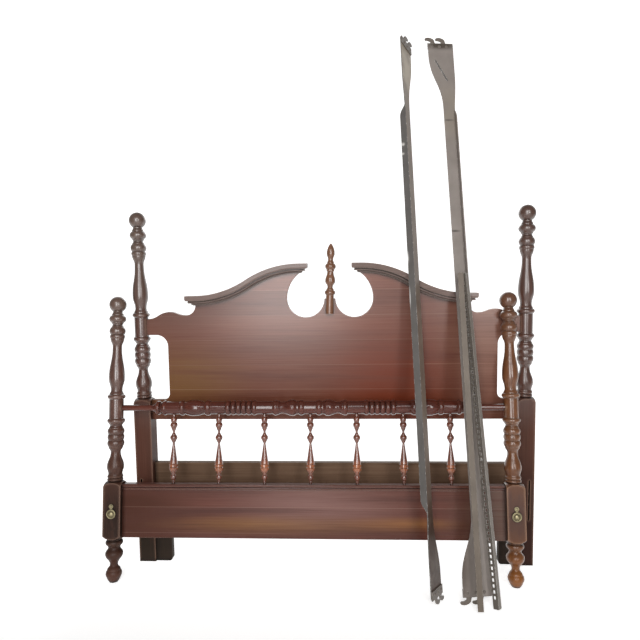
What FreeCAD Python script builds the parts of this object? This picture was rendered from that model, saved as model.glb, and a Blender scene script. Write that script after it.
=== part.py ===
# Turned four-post bed frame, knocked down: the headboard stands on its legs, the footboard
# leans back on it, and the steel side rails and cross bars lean in front of the crest.
import FreeCAD, Part
import math
import os
import re
from types import SimpleNamespace

from FreeCAD import Placement, Rotation, Vector

X_AXIS = Vector(1, 0, 0)
Y_AXIS = Vector(0, 1, 0)
Z_AXIS = Vector(0, 0, 1)
SIDES = (("left", -1), ("right", 1))

# Driving sizes in millimetres, and degrees where the name ends in angle
SIZES = (
    # Fits shared by every joint
    ("fit_gap", 0.3, "room round a tenon, spigot or dowel"),
    ("rest_gap", 0.6, "room where a loose piece leans or lies on another"),
    ("running_gap", 0.05, "room round the pin that a cover swings on"),
    ("lean_gap", 3, "room where a side rail leans on the crest"),
    ("cut_overrun", 6, "how far a cut runs past the face it starts from"),
    # Posts of both ends
    ("post_spacing", 1400, "between the axes of an end's two posts"),
    ("post_width", 62, "side of the square post stock"),
    ("ball_diameter", 60, "ball on top of a post"),
    ("ball_spigot_diameter", 14, "spigot that holds a ball"),
    ("ball_spigot_length", 22, "how deep the spigot goes"),
    ("shoulder_height", 15, "turned shoulder at the end of a square block"),
    # Hook slots in the posts, and the pins that the hooks drop over
    ("slot_width", 5.6, "saw slot for a rail's hooks"),
    ("slot_length", 150, "height of a slot"),
    ("slot_depth", 34, "depth of a slot"),
    ("slot_middle", 245, "height of a slot's middle above the floor"),
    ("slot_offset", 13, "slot from the post axis, outwards"),
    ("slot_pin_diameter", 6, "cross pin in a slot"),
    ("slot_pin_setback", 14, "cross pin axis behind the slotted face"),
    ("slot_pin_bite", 8, "how far a pin goes past its slot"),
    # Headboard
    ("head_leg_height", 622, "square leg of the headboard"),
    ("head_turned_length", 631, "turning above the square leg"),
    ("panel_thickness", 20, "headboard panel"),
    ("panel_leg_lap", 81, "panel below the top of the square legs"),
    ("panel_foot_height", 75, "panel below its side openings"),
    ("panel_tenon_tip", 8, "tenon tip from the post axis"),
    ("ear_low_inset", 1.9, "ear's lower edge above the foot of the post's plain cylinder"),
    ("ear_end_inset", 6.6, "ear's end below the top of the post's plain cylinder"),
    ("opening_reach", 99, "side opening, from the post axis inwards"),
    ("opening_top_radius", 42, "upper inside corner of an opening"),
    ("opening_low_radius", 23, "lower inside corner of an opening"),
    ("ear_crown_rise", 26, "crown of the rounded ear above its end at the post"),
    ("ear_crown_reach", 109, "crown of the ear from the post axis"),
    ("ear_dip", 13, "hollow between ear and crest, below the crown of the ear"),
    ("crest_rise", 112, "inner end of the crest above its outer end"),
    ("crest_outer_reach", 206, "outer end of the crest from the post axis"),
    ("crest_inner_half", 110, "inner end of the crest from the middle"),
    ("moulding_height", 35, "height of the crest moulding"),
    ("moulding_depth", 31, "how far the crest moulding stands proud"),
    ("cove_radius", 36, "cove below the outer end of the crest"),
    ("scroll_rise", 92, "sweep from the round cut up to the crest"),
    ("peak_half", 20, "half width of the peak that carries the finial"),
    ("scroll_radius", 68, "round cut beside the peak"),
    ("finial_length", 252, "centre finial with its shank"),
    ("finial_radius", 19.5, "largest radius of the finial"),
    ("finial_lap", 55, "how far the notched shank goes down over the peak"),
    ("finial_tilt_angle", 1.8, "how far the finial leans to the right"),
    ("head_rail_top", 373, "top of the low headboard rail"),
    ("head_rail_height", 180, "low headboard rail"),
    ("head_rail_thickness", 20, "low headboard rail"),
    ("head_rail_tenon_tip", 12, "tenon tip from the post axis"),
    ("foot_cleat_height", 262, "foot cleat inside each headboard leg"),
    ("foot_cleat_width", 61, "foot cleat inside each headboard leg"),
    ("foot_cleat_thickness", 24, "foot cleat inside each headboard leg"),
    ("foot_cleat_corner", 12, "rounded lower corner of a foot cleat"),
    ("screw_diameter", 4.5, "cleat screw"),
    ("screw_head_diameter", 9, "cleat screw head"),
    ("screw_head_height", 3, "cleat screw head"),
    ("screw_length", 36, "cleat screw with its head"),
    ("screw_spacing", 30, "between the two screws of a cleat"),
    # Footboard
    ("foot_turning_height", 150, "turned foot below the block"),
    ("foot_block_height", 200, "square block of a footboard post"),
    ("foot_turned_length", 606, "turning above the block"),
    ("foot_panel_bottom", 155, "lower edge of the footboard panel"),
    ("foot_panel_height", 167, "footboard panel below its cap"),
    ("foot_panel_thickness", 22, "footboard panel"),
    ("foot_panel_tenon_tip", 15, "tenon tip from the post axis"),
    ("cap_height", 20, "moulded cap on the footboard panel"),
    ("cap_width", 32, "moulded cap, front to back"),
    ("roll_height", 608, "axis of the blanket roll"),
    ("roll_radius", 29, "largest radius of the blanket roll"),
    ("roll_tenon_tip", 7, "end of the roll from the post axis"),
    ("spindle_spacing", 163, "between spindles"),
    ("spindle_radius", 15, "largest radius of a spindle"),
    ("spindle_tenon_diameter", 9, "round tenon at each end of a spindle"),
    ("spindle_tenon_length", 11, "round tenon at each end of a spindle"),
    # Bed bolt holes and the brass covers that swing over them
    ("bolt_hole_diameter", 10.4, "hole for a bed bolt"),
    ("bolt_recess_diameter", 24, "recess for the bolt's head"),
    ("bolt_recess_depth", 16, "recess for the bolt's head"),
    ("cover_height", 242, "middle of a cover above the post's foot"),
    ("cover_diameter", 33, "round cover"),
    ("cover_edge", 1.8, "plate thickness of a cover"),
    ("cover_ring_width", 4.6, "raised ring round a cover"),
    ("cover_ring_rise", 2.6, "how far the ring stands above the plate"),
    ("cover_dome_diameter", 19, "dome in the middle of a cover"),
    ("cover_dome_rise", 5, "how far the dome stands above the plate"),
    ("cover_eye_spacing", 26, "eyelet from the middle of the cover"),
    ("cover_eye_diameter", 15, "eyelet that the cover hangs from"),
    ("cover_neck_width", 8, "neck between eyelet and cover"),
    ("cover_pin_diameter", 3, "pin that a cover swings on"),
    ("cover_pin_depth", 14, "how deep the pin goes into the post"),
    ("cover_pin_head_diameter", 8, "head of that pin"),
    ("cover_pin_head_rise", 2, "head of that pin"),
    # Steel side rails
    ("rail_length", 1950, "angle of a side rail without its hooks"),
    ("rail_flange_width", 42, "upright flange of a rail"),
    ("rail_shelf_width", 23, "shelf flange of a rail"),
    ("rail_steel", 3, "steel thickness of a rail"),
    ("rail_end_width", 86, "upright flange at its flared ends, from the fold"),
    ("rail_end_lip", 10, "flared end past the fold"),
    ("rail_end_straight", 45, "straight part of a flared end"),
    ("rail_flare_length", 212, "curve from the flared end to the plain flange"),
    ("rail_shelf_setback", 245, "shelf starts this far from a rail's end"),
    ("rail_shelf_taper", 60, "slope at each end of the shelf"),
    ("hook_steel", 4, "steel thickness of a hook plate"),
    ("hook_lap", 24, "hook plate behind the rail's flange"),
    ("hook_overhang", 3, "hook plate past the rail's end"),
    ("hook_rise", 21, "hooks past the hook plate"),
    ("hook_reach", 34, "length of a hook, base to tip"),
    ("hook_spacing", 40, "between a plate's two hooks"),
    ("rivet_diameter", 6, "rivet through rail and hook plate"),
    ("rivet_head_diameter", 11, "rivet head"),
    ("rivet_head_rise", 2.6, "rivet head"),
    # How the rails lean
    ("rail_crest_overrun", 19, "right rail's foot past the outer end of the crest"),
    ("rail_spacing", 189, "between the feet of the two rails"),
    ("left_rail_standoff", 324, "left rail's foot in front of the headboard"),
    ("right_rail_standoff", 271, "right rail's foot in front of the headboard"),
    ("left_rail_drift", 53, "how far the left rail leans left over its length"),
    ("right_rail_drift", 58, "how far the right rail leans left over its length"),
    ("left_rail_turn_angle", 242, "left rail about its own length"),
    ("right_rail_turn_angle", 8, "right rail about its own length"),
    # Cross bars
    ("bar_length", 1096, "steel cross bar"),
    ("bar_flange", 19, "each flange of a cross bar"),
    ("bar_steel", 2.5, "steel thickness of a cross bar"),
    ("plain_bar_turn_angle", 0, "plain bar about its own length"),
    ("slotted_bar_turn_angle", -40, "slotted bar about its own length"),
    ("bar_slot_pitch", 18, "between the slots of the slotted bar"),
    ("bar_slot_length", 10, "slot of the slotted bar"),
    ("bar_slot_width", 6, "slot of the slotted bar"),
    ("plain_bar_offset", 30, "plain bar's foot, left of the right rail's foot"),
    ("slotted_bar_offset", 20, "slotted bar's foot, right of the right rail's foot"),
    ("plain_bar_drift", 22, "how far the plain bar leans left over its length"),
    ("slotted_bar_drift", 63, "how far the slotted bar leans left over its length"),
    # How the footboard leans
    ("footboard_shift", 72, "footboard to the left of the headboard"),
    ("footboard_standoff", 173, "footboard's feet in front of the headboard"),
)

# Turned outlines. Each row is a kind of cut, then where it ends: a share of the turning's
# length and a share of its radius. A bead also gives the share that its crown reaches.
POST_TURNING_SHARES = (
    ("start", 0.000, 0.78),
    ("bead", 0.019, 0.79, 0.88),
    ("bead", 0.037, 0.79, 0.87),
    ("line", 0.042, 0.77),
    ("ease", 0.083, 0.935),
    ("ease", 0.169, 0.55),
    ("ease", 0.201, 0.80),
    ("bead", 0.238, 0.83, 0.935),
    ("bead", 0.274, 0.83, 0.925),
    ("bead", 0.309, 0.78, 0.935),
    ("ease", 0.323, 0.67),
    ("ease", 0.338, 0.82),
    ("bead", 0.366, 0.81, 0.985),
    ("line", 0.371, 0.805),
    ("line", 0.478, 0.805),
    ("line", 0.480, 0.84),
    ("bead", 0.506, 0.80, 1.00),
    ("ease", 0.529, 0.645),
    ("ease", 0.603, 0.887),
    ("ease", 0.786, 0.516),
    ("ease", 0.838, 0.77),
    ("bead", 0.862, 0.755, 0.845),
    ("bead", 0.906, 0.70, 0.90),
    ("ease", 0.920, 0.565),
    ("ease", 0.934, 0.70),
    ("bead", 0.977, 0.68, 0.95),
    ("ease", 1.000, 0.53),
)
FOOT_TURNING_SHARES = (
    ("start", 0.000, 0.46),
    ("bead", 0.120, 0.78, 0.66),
    ("bead", 0.275, 0.74, 0.89),
    ("ease", 0.400, 0.43),
    ("ease", 0.655, 0.975),
    ("ease", 0.800, 0.66),
    ("ease", 0.845, 0.76),
    ("bead", 0.970, 0.79, 0.96),
    ("line", 1.000, 0.79),
)
SPINDLE_SHARES = (
    ("start", 0.000, 0.37),
    ("line", 0.050, 0.35),
    ("bead", 0.128, 0.46, 0.66),
    ("ease", 0.215, 0.99),
    ("line", 0.230, 0.99),
    ("line", 0.236, 0.88),
    ("line", 0.242, 0.99),
    ("line", 0.280, 0.97),
    ("line", 0.286, 0.86),
    ("line", 0.292, 0.94),
    ("line", 0.575, 0.25),
    ("ease", 0.625, 0.56),
    ("bead", 0.700, 0.50, 0.85),
    ("ease", 0.740, 0.26),
    ("ease", 0.805, 0.58),
    ("bead", 0.880, 0.57, 0.85),
    ("bead", 0.968, 0.42, 0.72),
    ("line", 1.000, 0.38),
)
FINIAL_SHARES = (
    ("start", 0.000, 0.74),
    ("line", 0.266, 0.74),
    ("bead", 0.338, 0.72, 1.00),
    ("ease", 0.380, 0.49),
    ("ease", 0.465, 0.95),
    ("ease", 0.600, 0.60),
    ("line", 0.612, 0.74),
    ("line", 0.632, 0.74),
    ("bead", 0.722, 0.66, 1.00),
    ("ease", 0.770, 0.48),
    ("ease", 0.858, 0.745),
    ("bead", 1.000, 0.08, 0.60),
)
# Half of the blanket roll from its middle outwards. Lengths are shares of the spindle
# spacing, so that each spindle meets a plain cylinder.
ROLL_SHARES = (
    ("start", 0.000, 0.79),
    ("line", 0.125, 0.79),
    ("bead", 0.255, 0.80, 0.94),
    ("line", 0.275, 0.80),
    ("ease", 0.370, 1.00),
    ("ease", 0.620, 0.70),
    ("ease", 0.710, 0.88),
    ("bead", 0.815, 0.79, 0.95),
    ("line", 0.830, 0.79),
    ("line", 1.160, 0.79),
    ("bead", 1.275, 0.76, 0.93),
    ("bead", 1.390, 0.76, 0.91),
    ("bead", 1.505, 0.76, 0.91),
    ("bead", 1.620, 0.76, 0.91),
    ("bead", 1.735, 0.76, 0.91),
    ("bead", 1.850, 0.76, 0.93),
    ("line", 1.870, 0.79),
    ("line", 2.170, 0.79),
    ("bead", 2.310, 0.78, 0.95),
    ("line", 2.345, 0.78),
    ("bead", 2.745, 0.78, 1.00),
    ("bead", 2.860, 0.79, 0.93),
    ("line", 3.150, 0.79),
    ("bead", 3.245, 0.72, 0.90),
    ("line", 3.290, 0.66),
    ("bead", 3.400, 0.60, 0.86),
    ("ease", 3.480, 0.365),
)
# Crest moulding: shares of its depth and of its height below the top edge
MOULDING_SHARES = (
    ("line", 1.00, 0.00),
    ("line", 1.00, 0.36),
    ("line", 0.92, 0.52),
    ("line", 0.68, 0.52),
    ("line", 0.68, 0.61),
    ("arc", 0.58, 0.77, 0.71, 0.71),
    ("line", 0.38, 0.77),
    ("line", 0.34, 0.93),
    ("line", 0.22, 0.93),
    ("line", 0.22, 1.00),
    ("line", 0.00, 1.00),
)
# Panel cap: shares of its half width and of its height, up one side
CAP_SHARES = (
    ("line", 0.76, 0.14),
    ("arc", 0.76, 0.46, 0.90, 0.30),
    ("line", 0.72, 0.46),
    ("line", 0.72, 0.54),
    ("line", 1.00, 0.54),
    ("line", 1.00, 0.76),
    ("arc", 0.80, 1.00, 0.94, 0.93),
)
# One hook: shares of its reach and of its rise, round from the inner foot of the hook
HOOK_SHARES = (
    ("line", 0.50, 0.28),
    ("arc", 1.00, 0.52, 0.72, 0.46),
    ("arc", 1.00, 1.00, 1.12, 0.78),
    ("arc", 0.10, 0.62, 0.40, 0.96),
    ("line", 0.00, 0.00),
)
HOOK_FOOT_SHARE = 0.52
HOOK_FIRST_SHARE = 0.20
EASE_SHARE = 0.46
RIVET_SHARES = (0.18, 0.50, 0.82)
SHOULDER_TOP_SHARE = 0.84
SHOULDER_SWELL_SHARE = 0.66
SPINDLE_COUNT = 7
LEAN_STEPS = 6
PLAIN_LOW_ROW = 13
PLAIN_HIGH_ROW = 14

doc = FreeCAD.newDocument("turned_post_bed")
sheet = doc.addObject("Spreadsheet::Sheet", "Sizes")
for row, (alias, number, note) in enumerate(SIZES, start=1):
    sheet.set(f"A{row}", note)
    sheet.set(f"B{row}", str(number))
    sheet.setAlias(f"B{row}", alias)
doc.recompute()
s = SimpleNamespace(**{alias: float(getattr(sheet, alias)) for alias, _, _ in SIZES})

half_post = s.post_width / 2
half_spacing = s.post_spacing / 2
panel_face = -s.panel_thickness / 2
cap_top = s.foot_panel_bottom + s.foot_panel_height + s.cap_height

# Heights of the headboard, from the posts up to the crest
plain_low = s.head_leg_height + s.head_turned_length * POST_TURNING_SHARES[PLAIN_LOW_ROW][1]
plain_high = s.head_leg_height + s.head_turned_length * POST_TURNING_SHARES[PLAIN_HIGH_ROW][1]
panel_bottom = s.head_leg_height - s.panel_leg_lap
opening_bottom = panel_bottom + s.panel_foot_height
opening_top = plain_low + s.ear_low_inset
ear_end_height = plain_high - s.ear_end_inset
ear_crown_height = ear_end_height + s.ear_crown_rise
crest_low_height = ear_crown_height - s.ear_dip + s.cove_radius + s.moulding_height
crest_high_height = crest_low_height + s.crest_rise
peak_height = crest_high_height - s.moulding_height - s.scroll_rise

# Feet of the leaning steel, to the right of the middle
right_foot = half_spacing - s.crest_outer_reach + s.rail_crest_overrun
rail_feet = {"left": right_foot - s.rail_spacing, "right": right_foot}
bar_feet = {"plain": right_foot - s.plain_bar_offset, "slotted": right_foot + s.slotted_bar_offset}
pieces = []


# Document helpers
def bind(formula):
    """A formula with each size name turned into its cell in the sheet."""
    return re.sub(r"[a-z]+(?:_[a-z]+)+", lambda word: "Sizes." + word.group(), formula)


def make(kind, name, place, **formulas):
    thing = doc.addObject(kind, name)
    for key, formula in formulas.items():
        thing.setExpression(key, bind(formula))
    thing.Placement = place
    return thing


def box(name, low, length, width, height):
    place = Placement(Vector(*low), Rotation())
    return make("Part::Box", name, place, Length=length, Width=width, Height=height)


def rod(name, start, axis, radius, length):
    place = Placement(Vector(*start), Rotation(Z_AXIS, axis))
    return make("Part::Cylinder", name, place, Radius=radius, Height=length)


def join(name, things):
    whole = doc.addObject("Part::MultiFuse", name)
    whole.Shapes = things
    whole.Refine = True
    return whole


def group(name, things):
    whole = doc.addObject("Part::Compound", name)
    whole.Links = things
    return whole


def cut(name, base, tools):
    result = doc.addObject("Part::Cut", name)
    result.Base = base
    result.Tool = tools[0] if len(tools) == 1 else join(name + "_tools", tools)
    result.Refine = True
    return result


def common(name, first, second):
    result = doc.addObject("Part::Common", name)
    result.Base = first
    result.Tool = second
    return result


def keep(thing, label, place):
    """Name a finished piece and stand it in its place."""
    thing.Label = label
    thing.Placement = place.multiply(thing.Placement)
    pieces.append(thing)
    return thing


def at(x, y, z):
    return Placement(Vector(x, y, z), Rotation())


# Outlines
def line(start, end):
    return Part.LineSegment(start, end)


def eased(start, end):
    """An S curve that leaves and arrives along the second axis."""
    handle = Vector(0, (end.y - start.y) * EASE_SHARE, 0)
    curve = Part.BezierCurve()
    curve.setPoles([start, start + handle, end - handle, end])
    return curve.toBSpline()


def level_arc(level, end):
    """The arc that leaves its first point level and passes through the second."""
    run = end.x - level.x
    rise = end.y - level.y
    radius = (run * run + rise * rise) / (2 * rise)
    turn = 2 * math.atan2(abs(rise), abs(run))
    middle = Vector(
        level.x + math.copysign(abs(radius) * math.sin(turn / 2), run),
        level.y + radius * (1 - math.cos(turn / 2)), 0)
    return Part.Arc(level, middle, end)


def dome(radius, base, rise):
    """The arc of a round cap from its rim to its top on the axis."""
    sphere = (radius * radius + rise * rise) / (2 * rise)
    half_turn = math.asin(radius / abs(sphere)) / 2
    middle = Vector(abs(sphere) * math.sin(half_turn), base + rise - sphere * (1 - math.cos(half_turn)), 0)
    return Part.Arc(Vector(radius, base, 0), middle, Vector(0, base + rise, 0))


def turned_edges(rows, radius, length, base):
    """The outline of a turning, radius across and length up, from its table of cuts."""
    edges = []
    last = None
    for kind, along, reach, *crown in rows:
        here = Vector(radius * reach, base + length * along, 0)
        if kind == "line":
            edges.append(line(last, here))
        elif kind == "bead":
            edges.append(Part.Arc(last, Vector(radius * crown[0], (last.y + here.y) / 2, 0), here))
        elif kind == "ease":
            edges.append(eased(last, here))
        last = here
    return edges


def shaped_edges(rows, start, across, up):
    """An outline of lines and arcs whose points are shares of two sizes, from start on."""
    edges = []
    last = start
    for kind, x, y, *via in rows:
        here = Vector(start.x + across * x, start.y + up * y, 0)
        if kind == "line":
            edges.append(line(last, here))
        else:
            edges.append(Part.Arc(last, Vector(start.x + across * via[0], start.y + up * via[1], 0), here))
        last = here
    return edges


def sketch_on(body, role, name, edges):
    plane = next(feature for feature in body.Origin.OriginFeatures if feature.Role == role)
    sketch = body.newObject("Sketcher::SketchObject", name)
    sketch.AttachmentSupport = [(plane, "")]
    sketch.MapMode = "FlatFace"
    sketch.addGeometry(edges, False)
    return sketch


def turned(name, edges):
    """A body turned about Z from an open outline, which is closed along the axis."""
    first = edges[0].StartPoint
    last = edges[-1].EndPoint
    foot = Vector(0, first.y, 0)
    head = Vector(0, last.y, 0)
    closing = [line(head, foot)]
    if last.x > 0:
        closing.insert(0, line(last, head))
    if first.x > 0:
        closing.append(line(foot, first))
    body = doc.addObject("PartDesign::Body", name)
    sketch = sketch_on(body, "XZ_Plane", name + "_outline", edges + closing)
    turning = body.newObject("PartDesign::Revolution", name + "_turning")
    turning.Profile = sketch
    turning.ReferenceAxis = (sketch, ["V_Axis"])
    turning.Angle = 360
    return body


def padded(body, role, name, edges, thickness, reverse=False, both_ways=False):
    """Add a flat outline to a body, thickened by a size from the sheet."""
    pad = body.newObject("PartDesign::Pad", name)
    pad.Profile = sketch_on(body, role, name + "_outline", edges)
    pad.setExpression("Length", bind(thickness))
    pad.Reversed = reverse
    if both_ways:
        pad.SideType = "Symmetric"
    return pad


def mirrored(edges):
    """The same edges on the other side of the second axis."""
    mirror = FreeCAD.Matrix()
    mirror.A11 = -1
    copies = []
    for edge in edges:
        if isinstance(edge, Part.LineSegment):
            copies.append(line(mirror * edge.EndPoint, mirror * edge.StartPoint))
        else:
            middle = edge.value((edge.FirstParameter + edge.LastParameter) / 2)
            copies.append(Part.Arc(mirror * edge.EndPoint, mirror * middle, mirror * edge.StartPoint))
    return copies[::-1]


# Posts
def post_block(name, base, height, foot_shoulder):
    """Square stock between two heights, with turned shoulders that arch its faces."""
    top = base + float(getattr(s, height))
    corner = s.post_width / math.sqrt(2)
    neck = half_post * SHOULDER_TOP_SHARE
    swell = neck + (corner - neck) * SHOULDER_SWELL_SHARE
    upper = Vector(corner, top - s.shoulder_height, 0)
    edges = []
    if foot_shoulder:
        lower = Vector(corner, base + s.shoulder_height, 0)
        edges.append(Part.Arc(Vector(neck, base, 0), Vector(swell, base + s.shoulder_height / 2, 0), lower))
    else:
        lower = Vector(corner, base, 0)
    edges.append(line(lower, upper))
    edges.append(Part.Arc(upper, Vector(swell, top - s.shoulder_height / 2, 0), Vector(neck, top, 0)))
    stock = box(name + "_stock", (-half_post, -half_post, base), "post_width", "post_width", height)
    return common(name + "_block", stock, turned(name + "_shoulders", edges))


def ball_bore(name, top):
    start = (0, 0, top - s.ball_spigot_length - s.fit_gap)
    return rod(name, start, Z_AXIS, "ball_spigot_diameter / 2 + fit_gap",
               "ball_spigot_length + fit_gap + cut_overrun")


def mortise(name, inward, tip, middle, low, thickness, height):
    """A blind mortise in a post's inner face for a tenon whose tip has a named place."""
    near = getattr(s, tip) - s.fit_gap
    far = half_post + s.cut_overrun
    left = near if inward > 0 else -far
    depth = getattr(s, thickness) / 2 + s.fit_gap
    return box(name, (left, middle - depth, low - s.fit_gap),
               f"post_width / 2 + cut_overrun - {tip} + fit_gap",
               f"{thickness} + 2 * fit_gap", f"{height} + 2 * fit_gap")


def slot_cuts(name, side, face, middle):
    """A hook slot in one face of a post, and the cross holes for its pins."""
    left = side * s.slot_offset - s.slot_width / 2
    front = -half_post - s.cut_overrun if face < 0 else half_post - s.slot_depth
    slot = box(name + "_slot", (left, front, middle - s.slot_length / 2),
               "slot_width", "slot_depth + cut_overrun", "slot_length")
    holes = [slot]
    for number, step in enumerate((-1, 1), start=1):
        start = pin_start(side, face, middle + step * s.hook_spacing / 2)
        holes.append(rod(f"{name}_pin_hole_{number}", start, X_AXIS * -side,
                         "slot_pin_diameter / 2 + fit_gap",
                         "slot_offset + slot_width / 2 + slot_pin_bite + post_width / 2 + cut_overrun"))
    return holes


def pin_start(side, face, height):
    reach = s.slot_offset + s.slot_width / 2 + s.slot_pin_bite
    return (side * reach, face * (half_post - s.slot_pin_setback), height)


def slot_pins(label, face, middle, place):
    """The pins of an end's two slots, flush with the inner faces of its posts."""
    pins = []
    for word, side in SIDES:
        for number, step in enumerate((-1, 1), start=1):
            x, y, z = pin_start(side, face, middle + step * s.hook_spacing / 2)
            start = (side * half_spacing + x - side * s.fit_gap, y, z)
            pins.append(rod(f"{label}_{word}_{number}", start, X_AXIS * -side, "slot_pin_diameter / 2",
                            "slot_offset + slot_width / 2 + slot_pin_bite + post_width / 2 - fit_gap"))
    keep(group(label, pins), label, place)


def ball(label, place):
    neck = half_post * POST_TURNING_SHARES[-1][2]
    radius = s.ball_diameter / 2
    middle = math.sqrt(radius * radius - neck * neck)
    spigot = s.ball_spigot_diameter / 2
    edges = [
        line(Vector(spigot, -s.ball_spigot_length, 0), Vector(spigot, 0, 0)),
        line(Vector(spigot, 0, 0), Vector(neck, 0, 0)),
        Part.Arc(Vector(neck, 0, 0), Vector(radius, middle, 0), Vector(0, middle + radius, 0)),
    ]
    keep(turned(label, edges), label, place)


def head_post(word, side):
    name = word + "_head_post"
    top = s.head_leg_height + s.head_turned_length
    plain_share = POST_TURNING_SHARES[PLAIN_HIGH_ROW][1] - POST_TURNING_SHARES[PLAIN_LOW_ROW][1]
    turning = turned(name + "_turned", turned_edges(
        POST_TURNING_SHARES, half_post, s.head_turned_length, s.head_leg_height))
    whole = join(name + "_wood", [post_block(name, 0, "head_leg_height", False), turning])
    cuts = slot_cuts(name, side, -1, s.slot_middle) + [
        ball_bore(name + "_ball_bore", top),
        mortise(name + "_ear_mortise", -side, "panel_tenon_tip", 0, opening_top,
                "panel_thickness", f"head_turned_length * {plain_share} - ear_low_inset - ear_end_inset"),
        mortise(name + "_panel_mortise", -side, "panel_tenon_tip", 0, panel_bottom,
                "panel_thickness", "panel_foot_height"),
        mortise(name + "_rail_mortise", -side, "head_rail_tenon_tip", s.head_rail_thickness / 2,
                s.head_rail_top - s.head_rail_height, "head_rail_thickness", "head_rail_height"),
    ]
    place = at(side * half_spacing, 0, 0)
    keep(cut(name, whole, cuts), name, place)
    ball(word + "_head_ball", place.multiply(at(0, 0, top)))


# Headboard panel, crest and finial
def panel_half_edges():
    """The right half of the panel's outline, from the peak round to the lower edge."""
    scroll = s.peak_half + s.scroll_radius
    outer = half_spacing - s.crest_outer_reach
    inner = s.crest_inner_half
    middle = Vector((outer + inner) / 2, (crest_low_height + crest_high_height) / 2, 0)
    scroll_end = Vector(scroll + s.scroll_radius, peak_height, 0)
    crest_foot = Vector(inner, crest_high_height - s.moulding_height, 0)
    sag = scroll_end.x - crest_foot.x
    rise = crest_foot.y - scroll_end.y
    sweep = (sag * sag + rise * rise) / (2 * sag)
    half_turn = math.atan2(rise, sweep - sag) / 2
    sweep_middle = Vector(scroll_end.x - sweep * (1 - math.cos(half_turn)),
                          scroll_end.y + sweep * math.sin(half_turn), 0)
    cove_top = Vector(outer, crest_low_height - s.moulding_height, 0)
    cove_end = Vector(outer + s.cove_radius, cove_top.y - s.cove_radius, 0)
    bow = s.cove_radius * (1 - math.sqrt(0.5))
    crown = Vector(half_spacing - s.ear_crown_reach, ear_crown_height, 0)
    ear_middle = (cove_end + crown) / 2
    post_face = half_spacing - half_post * POST_TURNING_SHARES[PLAIN_LOW_ROW][2]
    ear_end = Vector(post_face, ear_end_height, 0)
    shoulder_middle = (crown + ear_end) / 2
    tip = half_spacing - s.panel_tenon_tip
    side_x = half_spacing - s.opening_reach
    top_radius = s.opening_top_radius
    low_radius = s.opening_low_radius
    top_bow = top_radius * (1 - math.sqrt(0.5))
    low_bow = low_radius * (1 - math.sqrt(0.5))
    points = [
        ear_end,
        Vector(tip, ear_end_height, 0),
        Vector(tip, opening_top, 0),
        Vector(side_x + top_radius, opening_top, 0),
        Vector(side_x, opening_top - top_radius, 0),
        Vector(side_x, opening_bottom + low_radius, 0),
        Vector(side_x + low_radius, opening_bottom, 0),
        Vector(tip, opening_bottom, 0),
        Vector(tip, panel_bottom, 0),
    ]
    return [
        Part.Arc(Vector(s.peak_half, peak_height, 0),
                 Vector(scroll, peak_height - s.scroll_radius, 0), scroll_end),
        Part.Arc(scroll_end, sweep_middle, crest_foot),
        line(crest_foot, Vector(inner, crest_high_height, 0)),
        level_arc(Vector(inner, crest_high_height, 0), middle),
        level_arc(Vector(outer, crest_low_height, 0), middle),
        line(Vector(outer, crest_low_height, 0), cove_top),
        Part.Arc(cove_top, Vector(outer + bow, cove_end.y + bow, 0), cove_end),
        level_arc(cove_end, ear_middle),
        level_arc(crown, ear_middle),
        level_arc(crown, shoulder_middle),
        level_arc(ear_end, shoulder_middle),
        line(points[0], points[1]),
        line(points[1], points[2]),
        line(points[2], points[3]),
        Part.Arc(points[3], Vector(side_x + top_bow, opening_top - top_bow, 0), points[4]),
        line(points[4], points[5]),
        Part.Arc(points[5], Vector(side_x + low_bow, opening_bottom + low_bow, 0), points[6]),
        line(points[6], points[7]),
        line(points[7], points[8]),
    ]


def head_panel():
    right = panel_half_edges()
    tip = half_spacing - s.panel_tenon_tip
    peak = line(Vector(-s.peak_half, peak_height, 0), Vector(s.peak_half, peak_height, 0))
    bottom = line(Vector(tip, panel_bottom, 0), Vector(-tip, panel_bottom, 0))
    body = doc.addObject("PartDesign::Body", "head_panel")
    padded(body, "XZ_Plane", "head_panel_board", right + [bottom] + mirrored(right) + [peak],
           "panel_thickness", both_ways=True)
    return keep(body, "head_panel", at(0, 0, 0))


def moulding_face(origin, outward):
    """The moulding's section at the panel's front face, its depth along outward."""
    flat = shaped_edges(MOULDING_SHARES, Vector(0, 0, 0), s.moulding_depth, s.moulding_height)
    back = line(flat[-1].EndPoint, Vector(0, 0, 0))
    wire = Part.Wire([edge.toShape() for edge in flat + [back]])
    stand = FreeCAD.Matrix(outward.x, 0, outward.y, origin.x,
                           outward.y, 0, -outward.x, origin.y,
                           0, -1, 0, origin.z, 0, 0, 0, 1)
    return Part.Face(wire.transformGeometry(stand))


def crest_end(x, top, way):
    """A mitred return: the run carried past the panel's end, cut by the section's own outline."""
    run = moulding_face(Vector(x, panel_face, top), -Y_AXIS).extrude(X_AXIS * way * s.moulding_depth)
    front = panel_face - s.moulding_depth
    reach = s.moulding_depth + s.panel_thickness
    outline = moulding_face(Vector(x, front, top), X_AXIS * way).extrude(Y_AXIS * reach)
    wall = Part.makeBox(s.moulding_depth, s.panel_thickness, s.moulding_height,
                        Vector(min(x, x + way * s.moulding_depth), panel_face, top - s.moulding_height))
    return run.fuse(wall).common(outline)


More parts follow.
